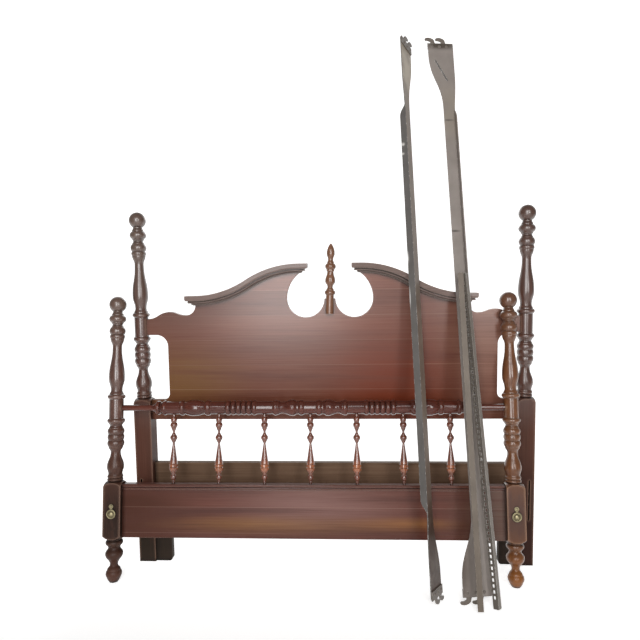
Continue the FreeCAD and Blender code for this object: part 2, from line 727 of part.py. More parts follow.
def crest_moulding(label, side):
    outer = half_spacing - s.crest_outer_reach
    inner = s.crest_inner_half
    run = (outer - inner) / 2
    rise = (crest_high_height - crest_low_height) / 2
    radius = (run * run + rise * rise) / (2 * rise)
    turn = math.degrees(2 * math.atan2(rise, run))
    low = moulding_face(Vector(outer, panel_face, crest_low_height), -Y_AXIS)
    high = moulding_face(Vector(inner, panel_face, crest_high_height), -Y_AXIS)
    shape = low.revolve(Vector(outer, 0, crest_low_height + radius), Y_AXIS, turn)
    shape = shape.fuse([
        high.revolve(Vector(inner, 0, crest_high_height - radius), Y_AXIS, turn),
        crest_end(outer, crest_low_height, 1),
        crest_end(inner, crest_high_height, -1),
    ]).removeSplitter()
    if side < 0:
        shape = shape.mirror(Vector(0, 0, 0), X_AXIS)
    feature = doc.addObject("Part::Feature", label)
    feature.Shape = shape
    return keep(feature, label, at(0, 0, 0))


def crest_finial():
    base = peak_height - s.finial_lap
    body = turned("crest_finial_turned", turned_edges(FINIAL_SHARES, s.finial_radius, s.finial_length, base))
    body.Placement = at(0, panel_face, 0)
    notch = box("crest_finial_notch",
                (-s.finial_radius, panel_face - s.fit_gap, base - s.cut_overrun),
                "2 * finial_radius", "panel_thickness + 2 * fit_gap",
                "finial_lap + finial_radius * tan(finial_tilt_angle) + fit_gap + cut_overrun")
    tilt = Rotation(Y_AXIS, s.finial_tilt_angle)
    peak = at(0, 0, peak_height)
    place = peak.multiply(Placement(Vector(0, 0, 0), tilt)).multiply(peak.inverse())
    keep(cut("crest_finial", body, [notch]), "crest_finial", place)


# Low headboard rail and foot cleats
def screw_places(side):
    x = side * (half_spacing - half_post - s.foot_cleat_width / 2)
    middle = (s.head_rail_top - s.head_rail_height + s.foot_cleat_height) / 2
    return [(x + step * s.screw_spacing / 2, middle) for step in (-1, 1)]


def screw_holes(name, side):
    holes = []
    for number, (x, z) in enumerate(screw_places(side), start=1):
        front = -s.foot_cleat_thickness
        holes.append(rod(f"{name}_shank_{number}", (x, front, z), Y_AXIS, "screw_diameter / 2 + fit_gap",
                         "screw_length + fit_gap"))
        holes.append(rod(f"{name}_head_{number}", (x, front - s.cut_overrun, z), Y_AXIS,
                         "screw_head_diameter / 2 + fit_gap", "screw_head_height + fit_gap + cut_overrun"))
    return holes


def low_headboard():
    tip = half_spacing - s.head_rail_tenon_tip
    low = s.head_rail_top - s.head_rail_height
    board = box("head_low_rail_board", (-tip, 0, low), "post_spacing - 2 * head_rail_tenon_tip",
                "head_rail_thickness", "head_rail_height")
    holes = screw_holes("rail_left", -1) + screw_holes("rail_right", 1)
    keep(cut("head_low_rail", board, holes), "head_low_rail", at(0, 0, 0))
    screws = []
    for word, side in SIDES:
        leg_face = half_spacing - half_post
        inner = leg_face - s.foot_cleat_width
        corner = s.foot_cleat_corner
        bow = corner * (1 - math.sqrt(0.5))
        edges = [
            line(Vector(leg_face, s.foot_cleat_height, 0), Vector(inner, s.foot_cleat_height, 0)),
            line(Vector(inner, s.foot_cleat_height, 0), Vector(inner, corner, 0)),
            Part.Arc(Vector(inner, corner, 0), Vector(inner + bow, bow, 0), Vector(inner + corner, 0, 0)),
            line(Vector(inner + corner, 0, 0), Vector(leg_face, 0, 0)),
            line(Vector(leg_face, 0, 0), Vector(leg_face, s.foot_cleat_height, 0)),
        ]
        name = word + "_foot_cleat"
        body = doc.addObject("PartDesign::Body", name + "_board")
        outline = edges if side > 0 else mirrored(edges)
        padded(body, "XZ_Plane", name + "_pad", outline, "foot_cleat_thickness")
        keep(cut(name, body, screw_holes(name, side)), name, at(0, 0, 0))
        for number, (x, z) in enumerate(screw_places(side), start=1):
            front = -s.foot_cleat_thickness
            head = rod(f"screw_{word}_{number}_head", (x, front, z), Y_AXIS, "screw_head_diameter / 2",
                       "screw_head_height")
            shank = rod(f"screw_{word}_{number}_shank", (x, front, z), Y_AXIS, "screw_diameter / 2",
                        "screw_length")
            screws.append(join(f"screw_{word}_{number}", [head, shank]))
    keep(group("cleat_screws", screws), "cleat_screws", at(0, 0, 0))


# Footboard
def footboard_stand(panel):
    """Lean the footboard back until its right post's top bead, or the ball, meets the panel."""
    bead = POST_TURNING_SHARES[-2]
    along = (POST_TURNING_SHARES[-3][1] + bead[1]) / 2
    block_top = s.foot_turning_height + s.foot_block_height
    top = block_top + s.foot_turned_length
    neck = half_post * POST_TURNING_SHARES[-1][2]
    radius = s.ball_diameter / 2
    bead_middle = Vector(half_spacing, 0, block_top + s.foot_turned_length * along)
    ball_middle = Vector(half_spacing, 0, top + math.sqrt(radius * radius - neck * neck))
    ring = Part.makeCircle(half_post * bead[3], bead_middle, Z_AXIS)
    pad = half_post * FOOT_TURNING_SHARES[0][2]

    def place_at(lean):
        foot = Vector(-s.footboard_shift, -s.footboard_standoff, pad * math.sin(lean))
        return Placement(foot, Rotation(X_AXIS, -math.degrees(lean)))

    lean = 0
    for _ in range(LEAN_STEPS):
        place = place_at(lean)
        crown = ring.copy()
        crown.Placement = place
        ball_gap = Part.Vertex(place.multVec(ball_middle)).distToShape(panel.Shape)[0] - radius
        gap = min(crown.distToShape(panel.Shape)[0], ball_gap)
        lean += (gap - s.rest_gap) / top
    return place_at(lean)


def foot_post(word, side, stand):
    name = word + "_foot_post"
    block_top = s.foot_turning_height + s.foot_block_height
    top = block_top + s.foot_turned_length
    whole = join(name + "_wood", [
        turned(name + "_foot", turned_edges(FOOT_TURNING_SHARES, half_post, s.foot_turning_height, 0)),
        post_block(name, s.foot_turning_height, "foot_block_height", True),
        turned(
            name + "_turned",
            turned_edges(POST_TURNING_SHARES, half_post, s.foot_turned_length, block_top),
        ),
    ])
    eye = s.cover_height + s.cover_eye_spacing
    front = -half_post - s.cut_overrun
    roll_start = (-side * (s.roll_tenon_tip - s.fit_gap), 0, s.roll_height)
    neck_share = ROLL_SHARES[-1][2]
    cuts = slot_cuts(name, side, 1, s.slot_middle) + [
        ball_bore(name + "_ball_bore", top),
        mortise(name + "_panel_mortise", -side, "foot_panel_tenon_tip", 0, s.foot_panel_bottom,
                "foot_panel_thickness", "foot_panel_height"),
        rod(name + "_roll_bore", roll_start, X_AXIS * -side, f"roll_radius * {neck_share} + fit_gap",
            "post_width / 2 + cut_overrun"),
        rod(name + "_bolt_hole", (0, front, s.cover_height), Y_AXIS, "bolt_hole_diameter / 2",
            "post_width + 2 * cut_overrun"),
        rod(name + "_bolt_recess", (0, front, s.cover_height), Y_AXIS, "bolt_recess_diameter / 2",
            "bolt_recess_depth + cut_overrun"),
        rod(name + "_cover_pin_hole", (0, front, eye), Y_AXIS, "cover_pin_diameter / 2 + fit_gap",
            "cover_pin_depth + fit_gap + cut_overrun"),
    ]
    place = stand.multiply(at(side * half_spacing, 0, 0))
    keep(cut(name, whole, cuts), name, place)
    ball(word + "_foot_ball", place.multiply(at(0, 0, top)))


def spindle_places():
    return [(number - (SPINDLE_COUNT - 1) / 2) * s.spindle_spacing for number in range(SPINDLE_COUNT)]


def foot_panel(stand):
    tip = half_spacing - s.foot_panel_tenon_tip
    board = box("foot_panel", (-tip, -s.foot_panel_thickness / 2, s.foot_panel_bottom),
                "post_spacing - 2 * foot_panel_tenon_tip", "foot_panel_thickness", "foot_panel_height")
    keep(board, "foot_panel", stand)


def foot_panel_cap(stand):
    half = s.cap_width / 2
    base = cap_top - s.cap_height
    start = Vector(half * CAP_SHARES[0][1], base, 0)
    up = shaped_edges(CAP_SHARES, Vector(0, base, 0), half, s.cap_height)
    up[0] = line(start, up[0].EndPoint)
    end = up[-1].EndPoint
    top = line(end, Vector(-end.x, end.y, 0))
    bottom = line(Vector(-start.x, base, 0), start)
    body = doc.addObject("PartDesign::Body", "foot_panel_cap_strip")
    padded(body, "YZ_Plane", "foot_panel_cap_pad", up + [top] + mirrored(up) + [bottom],
           "post_spacing - post_width", both_ways=True)
    bores = []
    for number, x in enumerate(spindle_places(), start=1):
        low = cap_top - s.spindle_tenon_length - s.fit_gap
        bores.append(rod(f"cap_bore_{number}", (x, 0, low), Z_AXIS, "spindle_tenon_diameter / 2 + fit_gap",
                         "spindle_tenon_length + fit_gap + cut_overrun"))
    keep(cut("foot_panel_cap", body, bores), "foot_panel_cap", stand)


def blanket_roll(stand):
    tip = half_spacing - s.roll_tenon_tip
    right = turned_edges(ROLL_SHARES, s.roll_radius, s.spindle_spacing, 0)
    left = turned_edges(ROLL_SHARES, s.roll_radius, -s.spindle_spacing, 0)
    neck = right[-1].EndPoint
    edges = [line(Vector(neck.x, -tip, 0), left[-1].EndPoint)]
    edges += left[::-1] + right
    edges.append(line(neck, Vector(neck.x, tip, 0)))
    body = turned("blanket_roll_turned", edges)
    body.Placement = Placement(Vector(0, 0, s.roll_height), Rotation(Z_AXIS, X_AXIS))
    seat = s.roll_height - s.roll_radius * ROLL_SHARES[0][2]
    bores = []
    for number, x in enumerate(spindle_places(), start=1):
        bores.append(rod(f"roll_bore_{number}", (x, 0, seat - s.cut_overrun), Z_AXIS,
                         "spindle_tenon_diameter / 2 + fit_gap",
                         "spindle_tenon_length + fit_gap + cut_overrun"))
    keep(cut("blanket_roll", body, bores), "blanket_roll", stand)


def spindles(stand):
    seat = s.roll_height - s.roll_radius * ROLL_SHARES[0][2] - s.fit_gap
    tenon = s.spindle_tenon_diameter / 2
    for number, x in enumerate(spindle_places(), start=1):
        edges = turned_edges(SPINDLE_SHARES, s.spindle_radius, seat - cap_top, cap_top)
        first = edges[0].StartPoint
        last = edges[-1].EndPoint
        foot = Vector(tenon, cap_top, 0)
        head = Vector(tenon, seat, 0)
        edges = [line(Vector(tenon, cap_top - s.spindle_tenon_length, 0), foot), line(foot, first)] + edges
        edges += [line(last, head), line(head, Vector(tenon, seat + s.spindle_tenon_length, 0))]
        label = f"spindle_{number}"
        keep(turned(label, edges), label, stand.multiply(at(x, 0, 0)))


# Brass bolt covers
def bolt_cover(word, side, stand):
    front = Vector(side * half_spacing, -half_post - s.rest_gap, s.cover_height)
    face = Placement(front, Rotation(X_AXIS, 90))
    radius = s.cover_diameter / 2
    boss = s.cover_dome_diameter / 2
    edge = s.cover_edge
    ring_middle = radius - s.cover_ring_width / 2
    label = word + "_bolt_cover"
    disc = turned(label + "_disc", [
        line(Vector(radius, 0, 0), Vector(radius, edge, 0)),
        Part.Arc(Vector(radius, edge, 0), Vector(ring_middle, edge + s.cover_ring_rise, 0),
                 Vector(radius - s.cover_ring_width, edge, 0)),
        line(Vector(radius - s.cover_ring_width, edge, 0), Vector(boss, edge, 0)),
        dome(boss, edge, s.cover_dome_rise),
    ])
    eye = rod(label + "_eye", (0, s.cover_eye_spacing, 0), Z_AXIS, "cover_eye_diameter / 2", "cover_edge")
    neck = box(label + "_neck", (-s.cover_neck_width / 2, ring_middle, 0), "cover_neck_width",
               "cover_eye_spacing - cover_diameter / 2 + cover_ring_width / 2", "cover_edge")
    hole = rod(label + "_hole", (0, s.cover_eye_spacing, -s.cut_overrun), Z_AXIS,
               "cover_pin_diameter / 2 + running_gap", "cover_edge + 2 * cut_overrun")
    keep(cut(label, join(label + "_plate", [disc, eye, neck]), [hole]), label, stand.multiply(face))
    pin = s.cover_pin_diameter / 2
    head = s.cover_pin_head_diameter / 2
    under = s.cover_edge + s.rest_gap
    pin_edges = [
        line(Vector(pin, -s.rest_gap - s.cover_pin_depth, 0), Vector(pin, under, 0)),
        line(Vector(pin, under, 0), Vector(head, under, 0)),
        dome(head, under, s.cover_pin_head_rise),
    ]
    place = stand.multiply(face).multiply(at(0, s.cover_eye_spacing, 0))
    keep(turned(word + "_cover_pin", pin_edges), word + "_cover_pin", place)


# Steel side rails, drawn standing on one end with the fold along Z
hook_length = s.hook_overhang + s.hook_rise
rail_low = hook_length
rail_high = hook_length + s.rail_length
rail_full = hook_length + rail_high


def rail_angle(label):
    """An angle whose upright flange flares at both ends, where the shelf is cut back."""
    wide = -s.rail_end_width
    plain = -s.rail_flange_width
    lip = s.rail_end_lip
    flare = s.rail_end_straight + s.rail_flare_length
    outline = [
        Vector(lip, rail_low, 0),
        Vector(lip, rail_low + flare / 2, 0),
        Vector(0, rail_low + s.rail_shelf_setback + s.rail_shelf_taper, 0),
        Vector(0, rail_high - s.rail_shelf_setback - s.rail_shelf_taper, 0),
        Vector(lip, rail_high - flare / 2, 0),
        Vector(lip, rail_high, 0),
        Vector(wide, rail_high, 0),
        Vector(wide, rail_high - s.rail_end_straight, 0),
        Vector(plain, rail_high - flare, 0),
        Vector(plain, rail_low + flare, 0),
        Vector(wide, rail_low + s.rail_end_straight, 0),
        Vector(wide, rail_low, 0),
    ]
    edges = []
    for number, start in enumerate(outline):
        end = outline[(number + 1) % len(outline)]
        curved = start.x != end.x and abs(start.y - end.y) > 0
        edges.append(eased(start, end) if curved else line(start, end))
    body = doc.addObject("PartDesign::Body", label)
    padded(body, "XZ_Plane", label + "_flange", edges, "rail_steel")
    shelf_low = rail_low + s.rail_shelf_setback
    shelf_high = rail_high - s.rail_shelf_setback
    edge = -s.rail_shelf_width
    corners = [
        Vector(0, shelf_low, 0),
        Vector(edge, shelf_low + s.rail_shelf_taper, 0),
        Vector(edge, shelf_high - s.rail_shelf_taper, 0),
        Vector(0, shelf_high, 0),
    ]
    shelf = [eased(corners[0], corners[1]), line(corners[1], corners[2]),
             eased(corners[2], corners[3]), line(corners[3], corners[0])]
    padded(body, "YZ_Plane", label + "_shelf", shelf, "rail_steel", reverse=True)
    return body


def rivet_places(end):
    """Where the rivets of one end go: end is -1 at the foot and 1 at the top."""
    height = rail_high - s.hook_lap / 2 if end > 0 else rail_low + s.hook_lap / 2
    return [(-share * s.rail_end_width, height) for share in RIVET_SHARES]


def rivet_holes(name, end):
    return [rod(f"{name}_hole_{number}", (x, -s.rail_steel - s.cut_overrun, z), Y_AXIS,
                "rivet_diameter / 2 + fit_gap", "rail_steel + hook_steel + 2 * cut_overrun")
            for number, (x, z) in enumerate(rivet_places(end), start=1)]


def hook_plate(label, end):
    """A plate behind the flared end, with two hooks that point the way the flange flares."""
    base = rail_high if end > 0 else rail_low
    foot = base + end * s.hook_overhang
    lap = base - end * s.hook_lap
    hook_foot = s.hook_reach * HOOK_FOOT_SHARE
    first = -s.rail_end_width * HOOK_FIRST_SHARE
    edges = []
    last = Vector(s.rail_end_lip, foot, 0)
    for step in range(2):
        right = Vector(first - step * s.hook_spacing, foot, 0)
        left = Vector(right.x - hook_foot, foot, 0)
        edges.append(line(last, right))
        hook = shaped_edges(HOOK_SHARES, right, -s.hook_reach, end * s.hook_rise)
        hook[0] = line(left, hook[0].EndPoint)
        edges += hook
        last = left
    corners = [last, Vector(-s.rail_end_width, foot, 0), Vector(-s.rail_end_width, lap, 0),
               Vector(s.rail_end_lip, lap, 0), Vector(s.rail_end_lip, foot, 0)]
    edges += [line(start, stop) for start, stop in zip(corners, corners[1:])]
    body = doc.addObject("PartDesign::Body", label + "_plate")
    padded(body, "XZ_Plane", label + "_pad", edges, "hook_steel", reverse=True)
    return body


def rivet(name, x, z):
    """One rivet, turned about Z and laid through the flange and the hook plate."""
    shank = s.rivet_diameter / 2
    head = s.rivet_head_diameter / 2
    grip = s.rail_steel + s.hook_steel
    under = dome(head, 0, -s.rivet_head_rise)
    halfway = (under.FirstParameter + under.LastParameter) / 2
    body = turned(name, [
        Part.Arc(under.EndPoint, under.value(halfway), under.StartPoint),
        line(Vector(head, 0, 0), Vector(shank, 0, 0)),
        line(Vector(shank, 0, 0), Vector(shank, grip, 0)),
        line(Vector(shank, grip, 0), Vector(head, grip, 0)),
        dome(head, grip, s.rivet_head_rise),
    ])
    body.Placement = Placement(Vector(x, -s.rail_steel, z), Rotation(Z_AXIS, Y_AXIS))
    return body


def leaning(foot, standoff, lift, lean, drift, turn):
    """A placement that stands Z along a leaning line, turned about that line."""
    along = Vector(-drift, math.tan(lean), 1)
    place = Vector(foot, -standoff, lift)
    return Placement(place, Rotation(Z_AXIS, along).multiply(Rotation(Z_AXIS, turn)))


def rest_on_floor(things, place_at):
    """Raise leaning pieces until their lowest point is on the floor."""
    lift = 0
    for _ in range(3):
        place = place_at(lift)
        low = min(moved(thing, place).optimalBoundingBox(False).ZMin for thing in things)
        lift -= low
    return place_at(lift)


def moved(thing, place):
    shape = thing.Shape.copy()
    shape.Placement = place.multiply(shape.Placement)
    return shape


def side_rail(word, crest):
    """A rail that stands on its hooks and leans back until it meets the crest."""
    foot = rail_feet[word]
    standoff = getattr(s, word + "_rail_standoff")
    drift = getattr(s, word + "_rail_drift") / rail_full
    turn = getattr(s, word + "_rail_turn_angle")
    angle = cut(word + "_rail", rail_angle(word + "_rail_angle"),
                rivet_holes(word + "_foot_rivet", -1) + rivet_holes(word + "_top_rivet", 1))
    plates = []
    rivets = []
    for end_word, end in (("foot", -1), ("top", 1)):
        name = f"{word}_rail_{end_word}_hooks"
        plates.append(cut(name, hook_plate(name, end), rivet_holes(name, end)))
        for number, (x, z) in enumerate(rivet_places(end), start=1):
            rivets.append(rivet(f"{word}_rail_{end_word}_rivet_{number}", x, z))
    riveting = group(word + "_rail_rivets", rivets)
    doc.recompute()
    lean = 0
    for _ in range(LEAN_STEPS):
        place = rest_on_floor([angle] + plates + rivets,
                              lambda lift: leaning(foot, standoff, lift, lean, drift, turn))
        lean += (moved(angle, place).distToShape(crest.Shape)[0] - s.lean_gap) / crest_high_height
    keep(angle, word + "_rail", place)
    for plate in plates:
        keep(plate, plate.Name, place)
    keep(riveting, word + "_rail_rivets", place)
    return place


# Steel cross bars
def bar_back(word):
    """How deep a turned bar is behind its fold."""
    bend = math.radians(-getattr(s, word + "_bar_turn_angle"))
    return s.bar_flange * math.cos(bend) + s.bar_steel * math.sin(bend)


def bar_fronts():
    """How far each bar's back keeps in front of the right rail's fold: the slotted bar leans
    on the rail's shelf, and the plain bar on the slotted bar's left flange at its top."""
    shelf = s.rail_shelf_width * math.cos(math.radians(s.right_rail_turn_angle))
    slotted_fold = shelf + s.rest_gap + bar_back("slotted")
    slotted_top = bar_feet["slotted"] - s.slotted_bar_drift
    plain_top = bar_feet["plain"] - s.plain_bar_drift
    slope = math.tan(math.radians(-s.slotted_bar_turn_angle))
    return shelf, slotted_fold - (slotted_top - plain_top) * slope


def cross_bar(word, slotted, lean, rail_front):
    name = word + "_cross_bar"
    outline = [
        Vector(0, 0, 0),
        Vector(-s.bar_flange, 0, 0),
        Vector(-s.bar_flange, s.bar_steel, 0),
        Vector(-s.bar_steel, s.bar_steel, 0),
        Vector(-s.bar_steel, s.bar_flange, 0),
        Vector(0, s.bar_flange, 0),
    ]
    edges = [line(start, end) for start, end in zip(outline, outline[1:] + outline[:1])]
    body = doc.addObject("PartDesign::Body", name if not slotted else name + "_angle")
    padded(body, "XY_Plane", name + "_pad", edges, "bar_length")
    bar = body
    if slotted:
        middle = -(s.bar_flange + s.bar_steel) / 2
        count = int(s.bar_length / s.bar_slot_pitch) - 2
        spare = s.bar_length - (count - 1) * s.bar_slot_pitch
        slots = []
        for number in range(count):
            low = spare / 2 + number * s.bar_slot_pitch - s.bar_slot_length / 2
            slots.append(box(f"bar_slot_{number + 1}", (middle - s.bar_slot_width / 2, -s.cut_overrun, low),
                             "bar_slot_width", "bar_steel + 2 * cut_overrun", "bar_slot_length"))
        bar = cut(name, body, slots)
    doc.recompute()
    foot = bar_feet[word]
    drift = getattr(s, word + "_bar_drift") / s.bar_length
    turn = getattr(s, word + "_bar_turn_angle")
    standoff = s.right_rail_standoff + (rail_front + bar_back(word) + s.rest_gap) / math.cos(lean)

    def place_at(lift):
        return leaning(foot, standoff, lift, lean, drift, turn)

    keep(bar, name, rest_on_floor([bar], place_at))


# The whole bed
for word, side in SIDES:
    head_post(word, side)
panel = head_panel()
crest_moulding("left_crest_moulding", -1)
right_crest = crest_moulding("right_crest_moulding", 1)
crest_finial()
low_headboard()
slot_pins("head_slot_pins", -1, s.slot_middle, at(0, 0, 0))

doc.recompute()
stand = footboard_stand(panel)
for word, side in SIDES:
    foot_post(word, side, stand)
    bolt_cover(word, side, stand)
foot_panel(stand)
foot_panel_cap(stand)
blanket_roll(stand)
spindles(stand)
slot_pins("foot_slot_pins", 1, s.slot_middle, stand)

side_rail("left", right_crest)
right_place = side_rail("right", right_crest)
right_fold = right_place.Rotation.multVec(Z_AXIS)
right_lean = math.atan2(right_fold.y, right_fold.z)
slotted_front, plain_front = bar_fronts()
cross_bar("plain", False, right_lean, plain_front)
cross_bar("slotted", True, right_lean, slotted_front)
doc.recompute()

# Stand the origin on the floor in the middle of everything
bounds = FreeCAD.BoundBox()
for thing in pieces:
    bounds.add(thing.Shape.optimalBoundingBox(False))
shift = Vector(-bounds.Center.x, -bounds.Center.y, -bounds.ZMin)
for thing in pieces:
    thing.Placement = Placement(shift, Rotation()).multiply(thing.Placement)
doc.recompute()

failed = [thing.Name for thing in doc.Objects if {"Invalid", "Error"} & set(thing.State)]
broken = [thing.Label for thing in pieces if thing.Shape.isNull() or not thing.Shape.isValid()]
if failed or broken:
    raise RuntimeError(f"failed objects {failed}, broken shapes {broken}")

os.makedirs("parts", exist_ok=True)
for thing in pieces:
    thing.Shape.exportStep(f"parts/{thing.Label}.step")
spans = [round(length) for length in (bounds.XLength, bounds.YLength, bounds.ZLength)]
print(len(pieces), "pieces,", " x ".join(map(str, spans)), "mm")
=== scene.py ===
# %% [markdown]
# # A turned-post bed, knocked down
# The headboard stands on its legs and the footboard leans back on it. Two steel side rails lean on
# the crest of the headboard, and two steel cross bars lean on the right rail. The solids of the bed
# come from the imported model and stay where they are. This lesson dresses them: it gives every piece
# the finish that the real one has, and rounds the edges of the boards and the steel.

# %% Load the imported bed
import math

import bmesh
import bpy
from mathutils import Matrix, Vector


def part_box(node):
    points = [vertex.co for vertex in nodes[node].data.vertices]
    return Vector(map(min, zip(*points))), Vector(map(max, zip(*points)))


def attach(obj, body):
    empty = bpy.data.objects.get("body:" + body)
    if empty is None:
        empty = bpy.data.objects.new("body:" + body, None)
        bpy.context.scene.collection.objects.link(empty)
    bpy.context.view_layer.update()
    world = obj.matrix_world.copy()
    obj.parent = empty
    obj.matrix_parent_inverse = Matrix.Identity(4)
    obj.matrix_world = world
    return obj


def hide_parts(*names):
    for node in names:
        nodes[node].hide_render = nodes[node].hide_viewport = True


bpy.ops.wm.read_factory_settings(use_empty=True)
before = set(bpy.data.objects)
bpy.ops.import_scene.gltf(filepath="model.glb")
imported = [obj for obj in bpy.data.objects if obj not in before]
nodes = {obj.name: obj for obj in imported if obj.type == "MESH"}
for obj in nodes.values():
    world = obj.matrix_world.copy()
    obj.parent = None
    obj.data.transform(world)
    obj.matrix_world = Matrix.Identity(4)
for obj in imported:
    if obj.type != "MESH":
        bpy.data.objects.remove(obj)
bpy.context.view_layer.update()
scene = bpy.context.scene
MM = 0.001

# %% [markdown]
# ## The camera
# The picture was taken standing about two metres in front of the headboard, a little right of
# the middle, at chest height. A photograph of a tall thing from so near has a wide lens, so the
# picture is 36 mm of sensor on a lens of about 31 mm. The place is measured from the floor midway
# between the two head posts, and the three small angles say how the camera was turned, tipped
# down and tilted in the hand.

# %% Camera
CAMERA_FROM_POSTS = Vector((61.2, -1997.6, 1071.3)) * MM
CAMERA_YAW = 0.0493
CAMERA_PITCH = -0.0819
CAMERA_ROLL = 0.0142
SENSOR_MM = 36.0
FOCAL_PIXELS = 550.0
PICTURE_PIXELS = 640.0

post_boxes = [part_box(name) for name in ("left_head_post", "right_head_post")]
post_corners = [Vector(corner) for box in post_boxes for corner in box]
between_posts = sum(post_corners, Vector()) / len(post_corners)
between_posts.z = 0
hand = (Matrix.Rotation(CAMERA_YAW, 3, "Z") @ Matrix.Rotation(CAMERA_PITCH, 3, "X")
        @ Matrix.Rotation(CAMERA_ROLL, 3, "Y"))
right, forward, up = (hand @ Vector(axis) for axis in ((1, 0, 0), (0, 1, 0), (0, 0, 1)))
turn = Matrix((right, up, -forward)).transposed()
camera = bpy.data.objects.new("camera", bpy.data.cameras.new("camera"))
camera.data.sensor_fit = "HORIZONTAL"
camera.data.sensor_width = SENSOR_MM
camera.data.lens = SENSOR_MM * FOCAL_PIXELS / PICTURE_PIXELS
camera.matrix_world = Matrix.Translation(between_posts + CAMERA_FROM_POSTS) @ turn.to_4x4()
scene.collection.objects.link(camera)
scene.camera = camera
print("lens", round(camera.data.lens, 2), "mm, camera at", [round(part, 4) for part in camera.location])

# %% [markdown]
# ## Nodes and colours
# Every finish below is a small tree of shader nodes. One function adds a node, sets it up and
# links it. Colours are written as the sRGB hex values that a painter's chart would give, and one
# function turns them to the linear values that the renderer works with.


# %% Node helper and colour
def node(tree, kind, inputs=None, **settings):
    """Add a node. Inputs are plain values, or sockets of nodes that were added before."""
    made = tree.nodes.new("ShaderNode" + kind)
    for name, value in settings.items():
        setattr(made, name, value)
    for name, value in (inputs or {}).items():
        if isinstance(value, bpy.types.NodeSocket):
            tree.links.new(value, made.inputs[name])
        else:
            made.inputs[name].default_value = value
    return made


def colour(hex_value):
    """A colour such as 6b4a40 in linear light."""
    parts = [int(hex_value[start:start + 2], 16) / 255 for start in (0, 2, 4)]
    linear = [part / 12.92 if part <= 0.04045 else ((part + 0.055) / 1.055) ** 2.4 for part in parts]
    return (*linear, 1.0)


def empty_material(name):
    """A material with nothing in its tree yet."""
    made = bpy.data.materials.new(name)
    made.use_nodes = True
    made.node_tree.nodes.clear()
    return made, made.node_tree


print("orange", [round(part, 3) for part in colour("a8623a")], "in linear light")

# %% [markdown]
# ## Patches and edges
# Two things happen to stained wood and to painted steel alike. The colour is uneven, so soft patches
# are laid over it: each fades out from its middle, and a noise breaks up its border. A few patches are
# painted light instead: painted sheens, and a painted shadow on the right rail. And hands and tools rub
# the edges. A Bevel node finds the edges by comparing the rounded normal with the true one: the less
# the two agree, the nearer the edge.

# %% Patches and edges
FEW_RAYS = 4
FLAT_AGREES = 0.995


def patched(tree, place, toned, patches, noise):
    """Lay soft patches of colour over a tone. A patch is a place in metres, its reach along each axis,
    a colour and a strength."""
    broken = node(tree, "MapRange", {"Value": noise, "From Min": 0.38, "From Max": 0.58,
                                     "To Min": 0.45, "To Max": 1.0})
    for centre, reach, tint, strength in patches:
        sizes = [1 / length for length in reach]
        shift = [-at * size for at, size in zip(centre, sizes)]
        around = node(tree, "Mapping", {"Vector": place, "Location": shift, "Scale": sizes})
        away = node(tree, "VectorMath", {0: around.outputs["Vector"]}, operation="LENGTH")
        share = node(tree, "MapRange", {"Value": away.outputs["Value"], "From Min": 1.0, "From Max": 0.0,
                                        "To Max": strength}, interpolation_type="SMOOTHSTEP")
        taken = node(tree, "Math", {0: share.outputs["Result"], 1: broken.outputs["Result"]},
                     operation="MULTIPLY", use_clamp=True)
        toned = node(tree, "Mix", {0: taken.outputs[0], 6: toned, 7: colour(tint)},
                     data_type="RGBA").outputs[2]
    return toned


def edge_share(tree, radius_mm, edge_agrees, most):
    """How near a point is to an edge: nothing on a flat face, and up to most at the edge."""
    rounded = node(tree, "Bevel", {"Radius": radius_mm * MM}, samples=FEW_RAYS)
    flat = node(tree, "NewGeometry")
    facing = node(tree, "VectorMath", {0: rounded.outputs["Normal"], 1: flat.outputs["Normal"]},
                  operation="DOT_PRODUCT")
    edge = node(tree, "MapRange", {"Value": facing.outputs["Value"], "From Min": FLAT_AGREES,
                                   "From Max": edge_agrees, "To Max": most})
    return edge.outputs["Result"]


print("a flat face agrees with its rounded normal to", FLAT_AGREES)

# %% [markdown]
# ## The grain of stained wood
# The bed is cherry under a dark red-brown stain. Its colour is three things at once: long streaks of
# grain, boards that were glued up edge to edge, and patches where the stain took more red or more
# gold. The streaks are a noise that is pulled out along the grain. Real pores are a quarter of a
# millimetre wide, too fine to show from two metres, so the streaks are drawn a few millimetres wide.
# The boards come from the height divided by the width of a board: the whole part is the board's
# number, which shifts its grain and tone, and the rest tells where the glue line runs.

# %% Grain
STREAK_WIDTH_MM = 3.6
STREAK_LENGTH_MM = 240.0
FIGURE_WIDTH_MM = 46.0
FIGURE_LENGTH_MM = 900.0
FINE_STREAKS = 0.32
STREAKS_IN_PATCH = 0.35
BOARD_SLIP = (7.0, 3.0, 5.0)
BOARD_TONES = (0.9, 1.07)
GLUE_LINE_SHARE = 0.02
GLUE_LINE_STRENGTH = 0.34


def grain_noise(tree, place, grain, width_mm, length_mm, roughness, distortion):
    """A noise that is pulled out along the grain."""
    sizes = [1000 / width_mm] * 3
    sizes["XYZ".index(grain)] = 1000 / length_mm
    pulled = node(tree, "Mapping", {"Vector": place, "Scale": sizes})
    noise = node(tree, "TexNoise", {"Vector": pulled.outputs["Vector"], "Scale": 1.0, "Detail": 4.0,
                                    "Roughness": roughness, "Distortion": distortion})
    return noise.outputs["Fac"]


